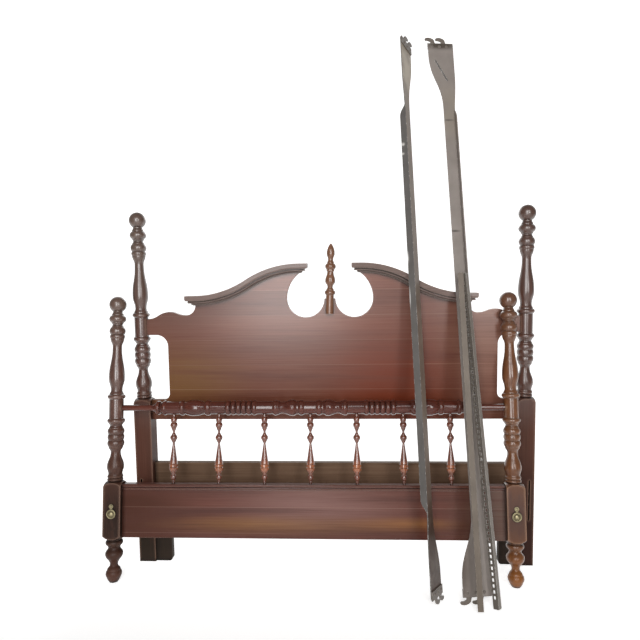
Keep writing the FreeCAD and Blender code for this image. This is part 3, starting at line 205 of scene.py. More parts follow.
def glued_boards(tree, place, height, line_height, board_width):
    """Number the boards from one glue line. Each board gets its own piece of grain and its own tone."""
    counted = node(tree, "MapRange", {"Value": height, "From Min": line_height,
                                      "From Max": line_height + board_width}, clamp=False)
    number = node(tree, "Math", {0: counted.outputs["Result"]}, operation="FLOOR")
    inside = node(tree, "Math", {0: counted.outputs["Result"]}, operation="FRACT")
    drawn = node(tree, "TexWhiteNoise", {"W": number.outputs[0]}, noise_dimensions="1D")
    slip = node(tree, "VectorMath", {0: drawn.outputs["Color"], 1: BOARD_SLIP}, operation="MULTIPLY")
    slipped = node(tree, "VectorMath", {0: place, 1: slip.outputs["Vector"]})
    glue_line = node(tree, "Math", {0: inside.outputs[0], 1: 0.0, 2: GLUE_LINE_SHARE}, operation="COMPARE")
    return slipped.outputs["Vector"], drawn.outputs["Value"], glue_line.outputs[0]


def grain_colour(tree, place, height, grain, tones, patches, boards):
    """The colour of the stained wood before any wear, and its fine streaks."""
    dark, middle, light, worn = (colour(tone) for tone in tones)
    grain_place = place
    if boards:
        grain_place, board_tone, glue_line = glued_boards(tree, place, height, *boards)
    streak = grain_noise(tree, grain_place, grain, STREAK_WIDTH_MM, STREAK_LENGTH_MM, 0.6, 0.3)
    figure = grain_noise(tree, grain_place, grain, FIGURE_WIDTH_MM, FIGURE_LENGTH_MM, 0.5, 0.5)
    streak_share = node(tree, "MapRange", {"Value": streak, "From Min": 0.32, "From Max": 0.68})
    figure_share = node(tree, "MapRange", {"Value": figure, "From Min": 0.3, "From Max": 0.7})
    body = node(tree, "Mix", {0: figure_share.outputs["Result"], 6: dark, 7: middle}, data_type="RGBA")
    fine = node(tree, "Math", {0: streak_share.outputs["Result"], 1: FINE_STREAKS}, operation="MULTIPLY")
    toned = node(tree, "Mix", {0: fine.outputs[0], 6: body.outputs[2], 7: light},
                 data_type="RGBA").outputs[2]
    if boards:
        lift = node(tree, "MapRange", {"Value": board_tone, "To Min": BOARD_TONES[0],
                                       "To Max": BOARD_TONES[1]})
        toned = node(tree, "Mix", {0: 1.0, 6: toned, 7: lift.outputs["Result"]},
                     data_type="RGBA", blend_type="MULTIPLY").outputs[2]
    mottle = node(tree, "Mix", {0: STREAKS_IN_PATCH, 2: figure, 3: streak})
    toned = patched(tree, place, toned, patches, mottle.outputs[0])
    if boards:
        gaps = node(tree, "Math", {0: glue_line, 1: figure_share.outputs["Result"]}, operation="MULTIPLY")
        thin = node(tree, "Math", {0: gaps.outputs[0], 1: GLUE_LINE_STRENGTH}, operation="MULTIPLY")
        toned = node(tree, "Mix", {0: thin.outputs[0], 6: toned, 7: worn}, data_type="RGBA").outputs[2]
    return toned, streak


print("streaks", STREAK_WIDTH_MM, "mm wide, figure", FIGURE_WIDTH_MM, "mm wide")

# %% [markdown]
# ## Wear, painted light and varnish
# Ambient Occlusion finds the grooves, and darkens them as painted shade. Turned to look inside the
# wood, it finds the thin crests of the beads, and lightens them with the worn tone as a painted
# highlight. Over it all lies the varnish, as a coat. A coat with a higher index of refraction throws a
# brighter highlight, which is how the posts and spindles look more polished than the boards. The bare
# wood's own reflection is kept low, or the white floor would lie over the dark stain as a veil.

# %% Stained wood
WORN_EDGE_MM = 3.4
WORN_EDGE_AGREES = 0.9
CREST_MM = 9.0
WOOD_REFLECTS = 0.16
PORE_DEPTH_MM = 0.3
PORE_STRENGTH = 0.1


def wear_and_painted_light_colour(tree, toned, worn, wear, groove, groove_shade_tone, crest_highlight):
    """Rub the edges light, paint a highlight on the bead crests, and paint shade into the grooves."""
    edge = edge_share(tree, WORN_EDGE_MM, WORN_EDGE_AGREES, wear)
    hollow = node(tree, "AmbientOcclusion", {"Distance": groove * MM}, samples=FEW_RAYS)
    open_share = node(tree, "MapRange", {"Value": hollow.outputs["AO"], "From Min": 0.5, "From Max": 0.9})
    # The crests of the beads get the worn tone as a painted highlight.
    depth = node(tree, "AmbientOcclusion", {"Distance": CREST_MM * MM}, samples=FEW_RAYS, inside=True)
    crest = node(tree, "MapRange", {"Value": depth.outputs["AO"], "From Min": 0.85, "From Max": 0.45,
                                    "To Max": crest_highlight})
    wear_and_painted_light = node(tree, "Math", {0: edge, 1: crest.outputs["Result"]}, operation="MAXIMUM")
    open_wear_and_highlight = node(tree, "Math", {0: wear_and_painted_light.outputs[0], 1: open_share.outputs["Result"]},
                  operation="MULTIPLY")
    worn_and_highlighted = node(tree, "Mix", {0: open_wear_and_highlight.outputs[0], 6: toned, 7: colour(worn)}, data_type="RGBA")
    # The grooves are darkened as painted shade.
    groove_shade = node(tree, "MapRange", {"Value": hollow.outputs["AO"], "From Min": 0.55, "From Max": 0.98,
                                  "To Min": groove_shade_tone, "To Max": 1.0})
    groove_shaded = node(tree, "Mix", {0: 1.0, 6: worn_and_highlighted.outputs[2], 7: groove_shade.outputs["Result"]},
                 data_type="RGBA", blend_type="MULTIPLY")
    return groove_shaded.outputs[2]


def stained_wood(name, grain, tones, patches=(), boards=None, wear=0.5, varnish=(0.3, 0.3),
                 heights=(0.3, 0.8), roughness=(0.36, 0.36), shine=0.14, groove=16.0, groove_shade_tone=0.3,
                 crest_highlight=0.0, polish=1.5):
    """Stained wood whose grain runs along X or Z. The tones are dark, middle, light and worn. Boards are
    the height of a glue line and the width of a board. The varnish and the roughness go from the first
    value at the lower height to the second at the upper. Polish is the varnish's index of refraction."""
    made, tree = empty_material(name)
    place = node(tree, "TexCoord").outputs["Object"]
    height = node(tree, "SeparateXYZ", {"Vector": place}).outputs["Z"]
    toned, streak = grain_colour(tree, place, height, grain, tones, patches, boards)
    wear_and_painted_light = wear_and_painted_light_colour(tree, toned, tones[3], wear, groove, groove_shade_tone, crest_highlight)
    coat, satin = (
        node(tree, "MapRange", {"Value": height, "From Min": heights[0], "From Max": heights[1],
                                "To Min": low, "To Max": high}).outputs["Result"]
        for low, high in (varnish, roughness))
    uneven = node(tree, "MapRange", {"Value": streak, "From Min": 0.3, "From Max": 0.7,
                                     "To Min": -0.05, "To Max": 0.06})
    gloss = node(tree, "Math", {0: satin, 1: uneven.outputs["Result"]}, operation="ADD")
    relief = node(tree, "Bump", {"Height": streak, "Strength": PORE_STRENGTH,
                                 "Distance": PORE_DEPTH_MM * MM})
    shader = node(tree, "BsdfPrincipled", {
        "Base Color": wear_and_painted_light, "Roughness": gloss.outputs[0], "Specular IOR Level": WOOD_REFLECTS,
        "Coat Weight": coat, "Coat Roughness": shine, "Coat IOR": polish,
        "Normal": relief.outputs["Normal"]})
    node(tree, "OutputMaterial", {"Surface": shader.outputs["BSDF"]})
    print(name, len(tree.nodes), "nodes")
    return made


# %% [markdown]
# ### Which wood is where on the headboard
# The panel is the showpiece: boards about 91 mm wide, gold towards its lower left and red towards
# its lower right. The posts are browner and greyer at the top, and darkest at the floor. The boards at
# the floor were only wiped with stain.

# %% Headboard wood
# Planed cherry boards under satin varnish: a broad soft sheen over the upper half. The pale patch on the
# right is a painted sheen.
panel_wood = stained_wood(
    "stained_cherry_panel", "X", ("552b1e", "6c3c2b", "8b5d4d", "ab8673"),
    patches=(((-0.52, 0.0, 0.69), (0.34, 1, 0.20), "6b4824", 1.0),
             ((0.27, 0.0, 0.68), (0.36, 1, 0.30), "692a13", 1.1),
             ((-0.56, 0.0, 1.0), (0.34, 1, 0.22), "5a3d33", 1.0),
             # The pale patch on the right is a painted sheen.
             ((0.60, 0.0, 0.85), (0.22, 1, 0.4), "845f50", 0.95)),
    boards=(0.835, 0.091), wear=0.4, varnish=(0.1, 0.9), heights=(0.64, 0.92),
    roughness=(0.36, 0.34), shine=0.27)
# Moulded cherry, greyed by dust and by a painted sheen: dark lines of painted shade in the grooves between
# pale beads.
crest_wood = stained_wood(
    "stained_cherry_crest", "X", ("5b4a42", "73605a", "8d7b74", "aa958a"), wear=0.5,
    varnish=(0.3, 0.3), roughness=(0.42, 0.42), groove=14.0, groove_shade_tone=0.2)
# Turned cherry under polish: a bright line down each shaft, dull square legs below.
head_post_wood = stained_wood(
    "stained_cherry_head_posts", "Z", ("39221a", "512f24", "6c4a3d", "9a7a68"),
    patches=(((-0.65, 0.0, 1.22), (0.3, 1, 0.40), "5c4c42", 0.9),
             ((0.72, 0.0, 1.25), (0.3, 1, 0.35), "4e3930", 0.7),
             ((-0.66, 0.0, 0.0), (0.3, 1, 0.26), "261b11", 1.4),
             ((0.74, 0.0, 0.08), (0.3, 1, 0.45), "2c130a", 1.7)),
    wear=0.4, varnish=(0.0, 1.0), heights=(0.5, 0.75), roughness=(0.5, 0.36), shine=0.27,
    groove_shade_tone=0.16, crest_highlight=0.6, polish=1.75)
# A small turned cherry finial, lighter than the posts: sparks on its beads.
finial_wood = stained_wood(
    "stained_cherry_finial", "Z", ("553726", "754e37", "93674b", "bd957a"), wear=0.45,
    varnish=(0.8, 0.8), roughness=(0.32, 0.32), groove_shade_tone=0.16, polish=1.7)
# Boards that were wiped with stain and never varnished: no sheen at all.
low_wood = stained_wood(
    "wiped_board_low", "X", ("4a3526", "6d5442", "886f5a", "97806c"), wear=0.3,
    varnish=(0.0, 0.0), roughness=(0.5, 0.5))
cleat_wood = stained_wood(
    "wiped_board_cleat", "Z", ("1c130d", "2a1f16", "3c2f24", "574738"), wear=0.3,
    varnish=(0.0, 0.0), roughness=(0.6, 0.6))

# %% [markdown]
# ### Which wood is where on the footboard
# The right foot post is rubbed down to amber, most of all at its foot. A gold streak of sapwood runs
# along the lower board of the panel. The roll and the spindles were varnished last and shine the most.

# %% Footboard wood
# Turned cherry under polish, dark and dull on the square block.
left_foot_post_wood = stained_wood(
    "stained_cherry_left_foot_post", "Z", ("3f251b", "57352a", "735144", "a18170"),
    patches=(((-0.73, -0.1, 0.22), (0.3, 1, 0.25), "26160e", 1.6),
             ((-0.73, 0.0, 0.98), (0.3, 1, 0.22), "5f4b40", 0.9)),
    wear=0.45, varnish=(0.05, 1.0), heights=(0.35, 0.65), roughness=(0.46, 0.36), shine=0.27,
    groove_shade_tone=0.16, crest_highlight=0.6, polish=1.75)
# The same wood with the stain rubbed thin: amber, with some gloss left at the foot.
right_foot_post_wood = stained_wood(
    "stained_cherry_right_foot_post", "Z", ("502d17", "6e4123", "8e5e3b", "c0987a"),
    patches=(((0.66, -0.1, 0.02), (0.3, 1, 0.17), "87501d", 1.0),
             ((0.66, -0.1, 0.25), (0.3, 1, 0.17), "4e3125", 1.6),
             ((0.66, 0.0, 1.0), (0.3, 1, 0.22), "5a3a2a", 1.1)),
    wear=0.4, varnish=(0.4, 1.0), heights=(0.25, 0.55), roughness=(0.36, 0.34), shine=0.22,
    groove_shade_tone=0.16, crest_highlight=0.5, polish=1.6)
# Planed cherry boards: red-brown, with sapwood gold low down, and a painted sheen across the middle of the
# top.
foot_panel_wood = stained_wood(
    "stained_cherry_footboard", "X", ("421f17", "592e23", "764b3f", "a07e70"),
    patches=(((-0.66, -0.1, 0.25), (0.30, 1, 0.3), "431f10", 1.1),
             ((-0.15, -0.1, 0.205), (0.55, 1, 0.045), "875c2f", 0.8),
             ((0.27, -0.1, 0.208), (0.30, 1, 0.035), "8a5a30", 0.9),
             # The pale patch across the middle of the top is a painted sheen.
             ((0.0, -0.1, 0.27), (0.42, 1, 0.12), "7d5b54", 0.8),
             ((0.60, -0.1, 0.25), (0.20, 1, 0.30), "5c463c", 1.1)),
    boards=(0.262, 0.088), wear=0.4, varnish=(0.3, 0.3), roughness=(0.34, 0.34), shine=0.24)
# Moulded cherry: a rubbed light edge over a groove darkened as painted shade.
cap_wood = stained_wood(
    "stained_cherry_cap", "X", ("3b1e17", "532e24", "70463a", "98766a"), wear=0.6,
    varnish=(0.3, 0.3), roughness=(0.34, 0.34), groove_shade_tone=0.16)
# Turned cherry under gloss varnish: a thin sharp line of light along the roll.
roll_wood = stained_wood(
    "varnished_cherry_roll", "X", ("37160f", "54251a", "723c2d", "96654f"), wear=0.35,
    varnish=(0.75, 0.75), roughness=(0.26, 0.26), shine=0.1, groove_shade_tone=0.14, crest_highlight=0.4)
# The same on the spindles, rubbed orange on their lower bulges: a bright line down each.
spindle_wood = stained_wood(
    "varnished_cherry_spindles", "Z", ("4c2418", "6e3826", "945c46", "c48f74"),
    patches=(((0.0, -0.1, 0.40), (2.0, 1, 0.03), "a8623a", 0.9),), wear=0.3,
    varnish=(1.0, 1.0), roughness=(0.3, 0.3), shine=0.14, groove_shade_tone=0.2, polish=1.8)

# %% [markdown]
# ## Old brass
# The bolt covers are thin pressed brass under old lacquer, gone dull and brown in the hollows. The
# hollows are found with Ambient Occlusion, and a fine noise makes the lacquer uneven.

# %% Brass
SPOT_MM = 6.0
BRASS_HOLLOW_MM = 6.0


def old_brass(name):
    """Pressed brass under dull lacquer: soft highlights on the rims, brown in the hollows."""
    made, tree = empty_material(name)
    place = node(tree, "TexCoord").outputs["Object"]
    spots = node(tree, "TexNoise", {"Vector": place, "Scale": 1000 / SPOT_MM, "Detail": 4.0})
    hollow = node(tree, "AmbientOcclusion", {"Distance": BRASS_HOLLOW_MM * MM}, samples=FEW_RAYS)
    groove = node(tree, "MapRange", {"Value": hollow.outputs["AO"], "From Min": 0.35, "From Max": 0.92})
    tarnish = node(tree, "Mix", {0: spots.outputs["Fac"], 6: colour("857b5e"), 7: colour("b0a686")},
                   data_type="RGBA")
    aged = node(tree, "Mix", {0: groove.outputs["Result"], 6: colour("2a2216"), 7: tarnish.outputs[2]},
                data_type="RGBA")
    gloss = node(tree, "MapRange", {"Value": spots.outputs["Fac"], "To Min": 0.34, "To Max": 0.55})
    shader = node(tree, "BsdfPrincipled", {"Base Color": aged.outputs[2], "Metallic": 1.0,
                                           "Roughness": gloss.outputs["Result"]})
    node(tree, "OutputMaterial", {"Surface": shader.outputs["BSDF"]})
    return made


brass = old_brass("lacquered_brass_old")
print(brass.name)

# %% [markdown]
# ## Painted steel
# The rails and bars are rolled steel angle under brown-grey enamel, scratched along their length and
# chipped to bright metal at the edges. Scratches are a noise pulled out along the rail, and they decide
# where an edge is chipped and how glossy the paint still is.

# %% Painted steel
SCRATCH_WIDTH_MM = 3.0
SCRATCH_LENGTH_MM = 60.0
BLOTCH_MM = 70.0
CHIPPED_EDGE_MM = 1.6
CHIPPED_EDGE_AGREES = 0.93
ENAMEL_ROUGHNESS = (0.30, 0.54)
STEEL_REFLECTS = 0.25


def rail_enamel(name, dark, light, chip, patches=(), wear=(0.5, 0.6)):
    """Old enamel on steel: blotched between dark and light, and chipped along the edges. An edge starts
    to chip where the scratches pass the first value of wear, and is bare past the second."""
    made, tree = empty_material(name)
    place = node(tree, "TexCoord").outputs["Object"]
    across = 1000 / SCRATCH_WIDTH_MM
    pulled = node(tree, "Mapping", {"Vector": place, "Scale": (across, across, 1000 / SCRATCH_LENGTH_MM)})
    scratch = node(tree, "TexNoise", {"Vector": pulled.outputs["Vector"], "Scale": 1.0, "Detail": 4.0})
    blotch = node(tree, "TexNoise", {"Vector": place, "Scale": 1000 / BLOTCH_MM, "Detail": 4.0})
    tone = node(tree, "Mix", {0: blotch.outputs["Fac"], 6: colour(dark), 7: colour(light)},
                data_type="RGBA")
    toned = patched(tree, place, tone.outputs[2], patches, blotch.outputs["Fac"])
    edge = edge_share(tree, CHIPPED_EDGE_MM, CHIPPED_EDGE_AGREES, 1.0)
    chipped = node(tree, "MapRange", {"Value": scratch.outputs["Fac"], "From Min": wear[0],
                                      "From Max": wear[1]})
    worn = node(tree, "Math", {0: edge, 1: chipped.outputs["Result"]}, operation="MULTIPLY")
    bare = node(tree, "Mix", {0: worn.outputs[0], 6: toned, 7: colour(chip)}, data_type="RGBA")
    gloss = node(tree, "MapRange", {"Value": scratch.outputs["Fac"], "To Min": ENAMEL_ROUGHNESS[0],
                                    "To Max": ENAMEL_ROUGHNESS[1]})
    shader = node(tree, "BsdfPrincipled", {"Base Color": bare.outputs[2],
                                           "Roughness": gloss.outputs["Result"],
                                           "Specular IOR Level": STEEL_REFLECTS})
    node(tree, "OutputMaterial", {"Surface": shader.outputs["BSDF"]})
    return made


print("enamel chips within", CHIPPED_EDGE_MM, "mm of an edge")

# %% [markdown]
# ### Which paint is where
# The right rail is the lightest, with a dark band under its top hooks, which is a painted shadow, and
# two dark lines across it. The left rail is browner, and its shelf is painted dark as painted shade
# and chipped to white steel in four places. The bars are plain grey.

# %% Paints
# Satin brown-grey enamel: a soft even grey, darker on the left of its lower end.
rail_paint = rail_enamel(
    "brown_grey_enamel", "756c66", "968e88", "d2cdc7",
    patches=(((0.43, -0.20, 0.12), (0.1, 0.4, 0.40), "5a5049", 1.4),
             ((0.49, 0.19, 1.66), (0.1, 0.3, 0.16), "867c6e", 0.8),
             # The dark band under the top hooks is a painted shadow.
             ((0.458, 0.215, 1.920), (0.09, 0.05, 0.024), "4f4740", 1.3),
             ((0.478, 0.152, 1.630), (0.03, 0.03, 0.006), "4a443f", 1.0),
             ((0.484, 0.058, 1.220), (0.03, 0.03, 0.006), "4a443f", 1.0)))
# Browner enamel, dark at the floor and lighter at the top.
left_rail_paint = rail_enamel(
    "brown_enamel", "675950", "877a6d", "d2cdc7",
    patches=(((0.37, -0.22, 0.10), (0.2, 0.4, 0.42), "46352b", 1.6),
             ((0.32, 0.19, 1.85), (0.1, 0.3, 0.2), "b3a796", 1.2)))
# Dark enamel, chipped to white steel. Its darkness is painted shade, on the left rail's shelf and on the
# crease of the right rail.
shelf_and_crease_shade_paint = rail_enamel(
    "enamel_painted_shade", "4d4a47", "6a6663", "e6e4e0",
    patches=(((0.304, 0.095, 1.535), (0.010, 0.03, 0.010), "d4d0ca", 1.1),
             ((0.304, 0.095, 1.500), (0.008, 0.03, 0.007), "c9c5bf", 1.0),
             ((0.311, 0.005, 1.125), (0.006, 0.03, 0.035), "dcdad6", 1.2),
             ((0.313, -0.03, 0.985), (0.006, 0.03, 0.060), "d2d0cc", 1.1)))
# Plain grey enamels: the plain bar, the slotted flange, the rubbed flange and the hooks.
bar_paint = rail_enamel("grey_enamel", "584f46", "776c61", "b9b2a8")
slotted_paint = rail_enamel("dark_grey_enamel", "49433d", "655e57", "cdc8c1", wear=(0.42, 0.58))
rubbed_paint = rail_enamel("rubbed_grey_enamel", "6c655e", "8a837c", "e2dfda", wear=(0.2, 0.35))
hook_steel = rail_enamel("dull_enamel", "5a524b", "786f67", "b5b0aa")
print(rail_paint.name, left_rail_paint.name, shelf_and_crease_shade_paint.name, bar_paint.name,
      slotted_paint.name, rubbed_paint.name, hook_steel.name)

# %% [markdown]
# ## Every piece gets its finish
# A table names the finish of each piece. The seven spindles share one finish, and so do the hooks and
# rivets of both rails, so two loops add those.

# %% Finishes
SPINDLES = 7
FINISHES = {
    "head_panel": panel_wood,
    "left_crest_moulding": crest_wood, "right_crest_moulding": crest_wood,
    "left_head_post": head_post_wood, "right_head_post": head_post_wood,
    "left_head_ball": head_post_wood, "right_head_ball": head_post_wood,
    "crest_finial": finial_wood,
    "head_low_rail": low_wood,
    "left_foot_cleat": cleat_wood, "right_foot_cleat": cleat_wood,
    "left_foot_post": left_foot_post_wood, "right_foot_post": right_foot_post_wood,
    "left_foot_ball": left_foot_post_wood, "right_foot_ball": right_foot_post_wood,
    "foot_panel": foot_panel_wood, "foot_panel_cap": cap_wood,
    "blanket_roll": roll_wood,
    "left_bolt_cover": brass, "right_bolt_cover": brass,
    "left_cover_pin": brass, "right_cover_pin": brass,
    "left_rail": left_rail_paint, "right_rail": rail_paint,
    "plain_cross_bar": bar_paint, "slotted_cross_bar": slotted_paint,
    "cleat_screws": hook_steel, "head_slot_pins": hook_steel, "foot_slot_pins": hook_steel,
}
for number in range(1, SPINDLES + 1):
    FINISHES[f"spindle_{number}"] = spindle_wood
for side in ("left", "right"):
    for part in ("foot_hooks", "top_hooks", "rivets"):
        FINISHES[f"{side}_rail_{part}"] = hook_steel
for name, finish in FINISHES.items():
    nodes[name].data.materials.clear()
    nodes[name].data.materials.append(finish)
print(len(FINISHES), "pieces have a finish")

# %% [markdown]
# ## Boards and steel with eased edges
# A planed board has its sharp edges taken off with sandpaper, a moulding is rubbed too, and rolled
# steel has a small round along every edge. Those rounds catch the light, so they are modelled: the
# solid's mesh is copied, its loose triangles are merged, the flat faces are made whole again, and the
# edges that turn by more than about a third of a right angle are bevelled. The table gives the body
# that each copy rides on, its material slot, and the bevel in millimetres.

# %% Eased copies
EASED = {
    "head_panel": ("headboard", "headboard_wood", 2.2),
    "head_low_rail": ("headboard", "headboard_wood", 2.0),
    "left_foot_cleat": ("headboard", "headboard_wood", 2.0),
    "right_foot_cleat": ("headboard", "headboard_wood", 2.0),
    "foot_panel": ("footboard", "footboard_wood", 2.0),
    "foot_panel_cap": ("footboard", "footboard_wood", 1.4),
    "left_crest_moulding": ("headboard", "headboard_wood", 0.7),
    "right_crest_moulding": ("headboard", "headboard_wood", 0.7),
    "left_rail": ("left_side_rail", "rail_paint", 0.7),
    "right_rail": ("right_side_rail", "rail_paint", 0.7),
    "plain_cross_bar": ("plain_bar", "rail_paint", 0.7),
    "slotted_cross_bar": ("slotted_bar", "rail_paint", 1.0),
}
SHARP_ANGLE = math.radians(34)
FLAT_ANGLE = math.radians(0.6)
SAME_POINT = 0.02 * MM
BEVEL_STEPS = 2
FULL_WEIGHT = 100


def eased_copy(name, body, slot, radius):
    """Copy a node's mesh with its sharp edges rounded, and let the copy stand for the node."""
    work = bmesh.new()
    work.from_mesh(nodes[name].data)
    bmesh.ops.remove_doubles(work, verts=work.verts, dist=SAME_POINT)
    bmesh.ops.dissolve_limit(work, angle_limit=FLAT_ANGLE, verts=work.verts, edges=work.edges)
    sharp = [edge for edge in work.edges
             if len(edge.link_faces) == 2 and edge.calc_face_angle() > SHARP_ANGLE]
    bmesh.ops.bevel(work, geom=sharp, offset=radius * MM, segments=BEVEL_STEPS, profile=0.5,
                    affect="EDGES", material=-1, clamp_overlap=True)
    for face in work.faces:
        face.smooth = True
    for edge in work.edges:
        edge.smooth = len(edge.link_faces) == 2 and edge.calc_face_angle() < SHARP_ANGLE
    mesh = bpy.data.meshes.new(name + "_eased")
    work.to_mesh(mesh)
    work.free()
    mesh.materials.append(FINISHES[name])
    copy = bpy.data.objects.new(name + "_eased", mesh)
    scene.collection.objects.link(copy)
    even = copy.modifiers.new("even_normals", "WEIGHTED_NORMAL")
    even.keep_sharp = True
    even.weight = FULL_WEIGHT
    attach(copy, body)
    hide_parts(name)
    return copy


eased = {name: eased_copy(name, *how) for name, how in EASED.items()}
for name, copy in eased.items():
    print(name, len(copy.data.polygons), "faces")

# %% [markdown]
# The end plate of the right rail has a crease pressed into it, a low ridge that runs slantwise to the
# corner. It is a slim block with all its edges bevelled, laid along the plate between two points, and
# painted dark as painted shade along the crease.

# %% The crease of the right rail
CREASE_HIGH = Vector((433.8, 199.5, 1861.9)) * MM
CREASE_LOW = Vector((478.4, 187.0, 1780.5)) * MM
PLATE_FACING = Vector((0.14, -0.97, 0.22)).normalized()
CREASE_WIDTH = 5.0 * MM
CREASE_RISE = 1.6 * MM
CREASE_ROUND = 1.2 * MM

along = (CREASE_LOW - CREASE_HIGH).normalized()
across = PLATE_FACING.cross(along).normalized()
outward = along.cross(across)
crease_turn = Matrix((along, across, outward)).transposed().to_4x4()
crease_size = Matrix.Diagonal(((CREASE_LOW - CREASE_HIGH).length, CREASE_WIDTH, 2 * CREASE_RISE, 1))
crease_place = Matrix.Translation((CREASE_HIGH + CREASE_LOW) / 2)
right_rail_mesh = eased["right_rail"].data
pressed = bmesh.new()
pressed.from_mesh(right_rail_mesh)
block = bmesh.ops.create_cube(pressed, size=1.0, matrix=crease_place @ crease_turn @ crease_size)
# The crease is painted dark as painted shade.
right_rail_mesh.materials.append(shelf_and_crease_shade_paint)
for face in {face for vert in block["verts"] for face in vert.link_faces}:
    face.material_index = 1
block_edges = list({edge for vert in block["verts"] for edge in vert.link_edges})
bmesh.ops.bevel(pressed, geom=block_edges, offset=CREASE_ROUND, segments=BEVEL_STEPS, profile=0.5,
                affect="EDGES", material=-1)
pressed.to_mesh(right_rail_mesh)
pressed.free()
print("crease", round((CREASE_LOW - CREASE_HIGH).length / MM), "mm long")

# %% [markdown]
# ## Flanges that don't look alike
# The flange of the left rail that faces left was the shelf under the slats. It is painted darker, as
# painted shade on the face turned from the light, and it is more chipped. The slotted bar is darker on
# its slotted flange than on its plain one, which is rubbed bright along both of its edges. The faces of
# a flange are found by the way they look, and get a second material.

# %% Second paints
SHELF_FACING = Vector((-0.47, -0.86, 0.19))
SHELF_AGREES = 0.9
PLAIN_FLANGE_FACING = Vector((0.761, -0.622, 0.185))
PLAIN_FLANGE_AGREES = 0.8

left_rail_mesh = eased["left_rail"].data
slotted_mesh = eased["slotted_cross_bar"].data
shelf_faces = [face for face in left_rail_mesh.polygons
               if abs(face.normal.dot(SHELF_FACING)) > SHELF_AGREES]
plain_faces = [face for face in slotted_mesh.polygons
               if face.normal.dot(PLAIN_FLANGE_FACING) > PLAIN_FLANGE_AGREES]
for mesh, paint, faces in ((left_rail_mesh, shelf_and_crease_shade_paint, shelf_faces),
                           (slotted_mesh, rubbed_paint, plain_faces)):
    mesh.materials.append(paint)
    for face in faces:
        face.material_index = 1
    print(len(faces), "faces painted with", paint.name)

# %% [markdown]
# ## The studio
# A white floor that curves up into a white wall. It starts as one flat face. Its back edge is pulled
# up to make the wall, and the fold between them is bevelled into a curve.

# %% Floor and backdrop
FLOOR_REACH = 9.0
WALL_PLACE = 5.0
WALL_HEIGHT = 8.0
CURVE_REACH = 2.0
CURVE_STEPS = 16

floor_corners = ((-FLOOR_REACH, -FLOOR_REACH), (FLOOR_REACH, -FLOOR_REACH),
                 (FLOOR_REACH, WALL_PLACE), (-FLOOR_REACH, WALL_PLACE))
sweep = bmesh.new()
floor_face = sweep.faces.new([sweep.verts.new((x, y, 0)) for x, y in floor_corners])
back_edge = next(edge for edge in floor_face.edges if all(vert.co.y > 0 for vert in edge.verts))
lifted = bmesh.ops.extrude_edge_only(sweep, edges=[back_edge])
raised = [item for item in lifted["geom"] if isinstance(item, bmesh.types.BMVert)]
bmesh.ops.translate(sweep, verts=raised, vec=(0, 0, WALL_HEIGHT))
fold = [edge for edge in sweep.edges
        if all(abs(vert.co.y - WALL_PLACE) < MM and abs(vert.co.z) < MM for vert in edge.verts)]
bmesh.ops.bevel(sweep, geom=fold, offset=CURVE_REACH, segments=CURVE_STEPS, profile=0.5,
                affect="EDGES", material=-1)
floor_mesh = bpy.data.meshes.new("studio_floor")
sweep.to_mesh(floor_mesh)
sweep.free()
for face in floor_mesh.polygons:
    face.use_smooth = True
floor = bpy.data.objects.new("studio_floor", floor_mesh)
scene.collection.objects.link(floor)
print("floor", len(floor_mesh.polygons), "faces")

# %% [markdown]
# The floor is matt white paper. It shows itself a little brighter to the camera, to reflections and
# through glass than its light alone would make it, so that the background is white without more light
# on the bed, and the bed's shadow still falls on it. This glow is weak in front of the bed, where it
# would lie on the dark varnish as a veil, and grows with depth.

# %% White paper
GLOW_NEAR = 0.05
GLOW_FAR = 0.9
GLOW_DEPTHS = (-1.0, 0.3)

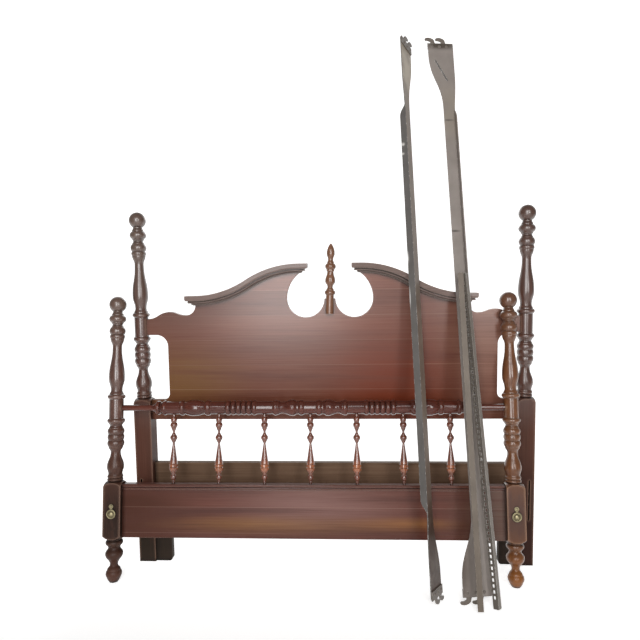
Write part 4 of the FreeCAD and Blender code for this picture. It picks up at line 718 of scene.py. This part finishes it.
paper, paper_tree = empty_material("white_paper")
ray = node(paper_tree, "LightPath")
seen = node(paper_tree, "Math", {0: ray.outputs["Is Camera Ray"], 1: ray.outputs["Is Glossy Ray"]},
            operation="MAXIMUM")
shown = node(paper_tree, "Math", {0: seen.outputs[0], 1: ray.outputs["Is Transmission Ray"]},
             operation="MAXIMUM")
paper_place = node(paper_tree, "TexCoord").outputs["Object"]
paper_depth = node(paper_tree, "SeparateXYZ", {"Vector": paper_place}).outputs["Y"]
glow_here = node(paper_tree, "MapRange", {"Value": paper_depth, "From Min": GLOW_DEPTHS[0],
                                          "From Max": GLOW_DEPTHS[1], "To Min": GLOW_NEAR,
                                          "To Max": GLOW_FAR})
glow = node(paper_tree, "Math", {0: shown.outputs[0], 1: glow_here.outputs["Result"]},
            operation="MULTIPLY")
paper_shader = node(paper_tree, "BsdfPrincipled", {
    "Base Color": colour("f7f7f6"), "Roughness": 0.9, "Emission Color": colour("ffffff"),
    "Emission Strength": glow.outputs[0]})
node(paper_tree, "OutputMaterial", {"Surface": paper_shader.outputs["BSDF"]})
floor_mesh.materials.append(paper)
print("paper glows from", GLOW_NEAR, "to", GLOW_FAR)

# %% [markdown]
# ## The light
# The room's light is two tall windows behind the camera, the larger a little to the left. They
# draw the bright lines down every turned post, and lay a broad sheen on the middle of the panel and
# a weaker one on its right. A narrow strip of light higher up draws the thin bright line along
# the roll and the sparks on the beads. A weak lamp behind shows the back, and a pale world fills the
# shadows. Each row below is a lamp's name, its place, the point it looks at, its width and height in
# metres, and its power in watts.

# %% Lamps and world
LAMPS = (
    ("left_window_lamp", (-0.55, -3.7, 1.4), (-0.05, 0.0, 1.1), 1.0, 2.1, 64.0),
    ("right_window_lamp", (1.55, -3.6, 1.5), (0.4, 0.0, 1.0), 0.7, 1.6, 37.0),
    ("strip_lamp", (0.0, -3.3, 2.8), (0.0, 0.0, 0.6), 3.2, 0.35, 36.0),
    ("back_lamp", (0.3, 3.4, 2.4), (0.0, 0.0, 0.7), 3.0, 1.4, 24.0),
)
WORLD_STRENGTH = 0.22

for name, place, aim, width, height, watts in LAMPS:
    lamp = bpy.data.objects.new(name, bpy.data.lights.new(name, "AREA"))
    lamp.data.shape = "RECTANGLE"
    lamp.data.size = width
    lamp.data.size_y = height
    lamp.data.energy = watts
    lamp.location = place
    lamp.visible_camera = False
    lamp.rotation_euler = (Vector(aim) - Vector(place)).to_track_quat("-Z", "Y").to_euler()
    scene.collection.objects.link(lamp)
world = bpy.data.worlds.new("pale_room")
world.use_nodes = True
world.node_tree.nodes.clear()
sky = node(world.node_tree, "Background", {"Color": colour("ffffff"), "Strength": WORLD_STRENGTH})
node(world.node_tree, "OutputWorld", {"Surface": sky.outputs["Background"]})
scene.world = world
scene.view_settings.view_transform = "Standard"
print(len(LAMPS), "lamps")
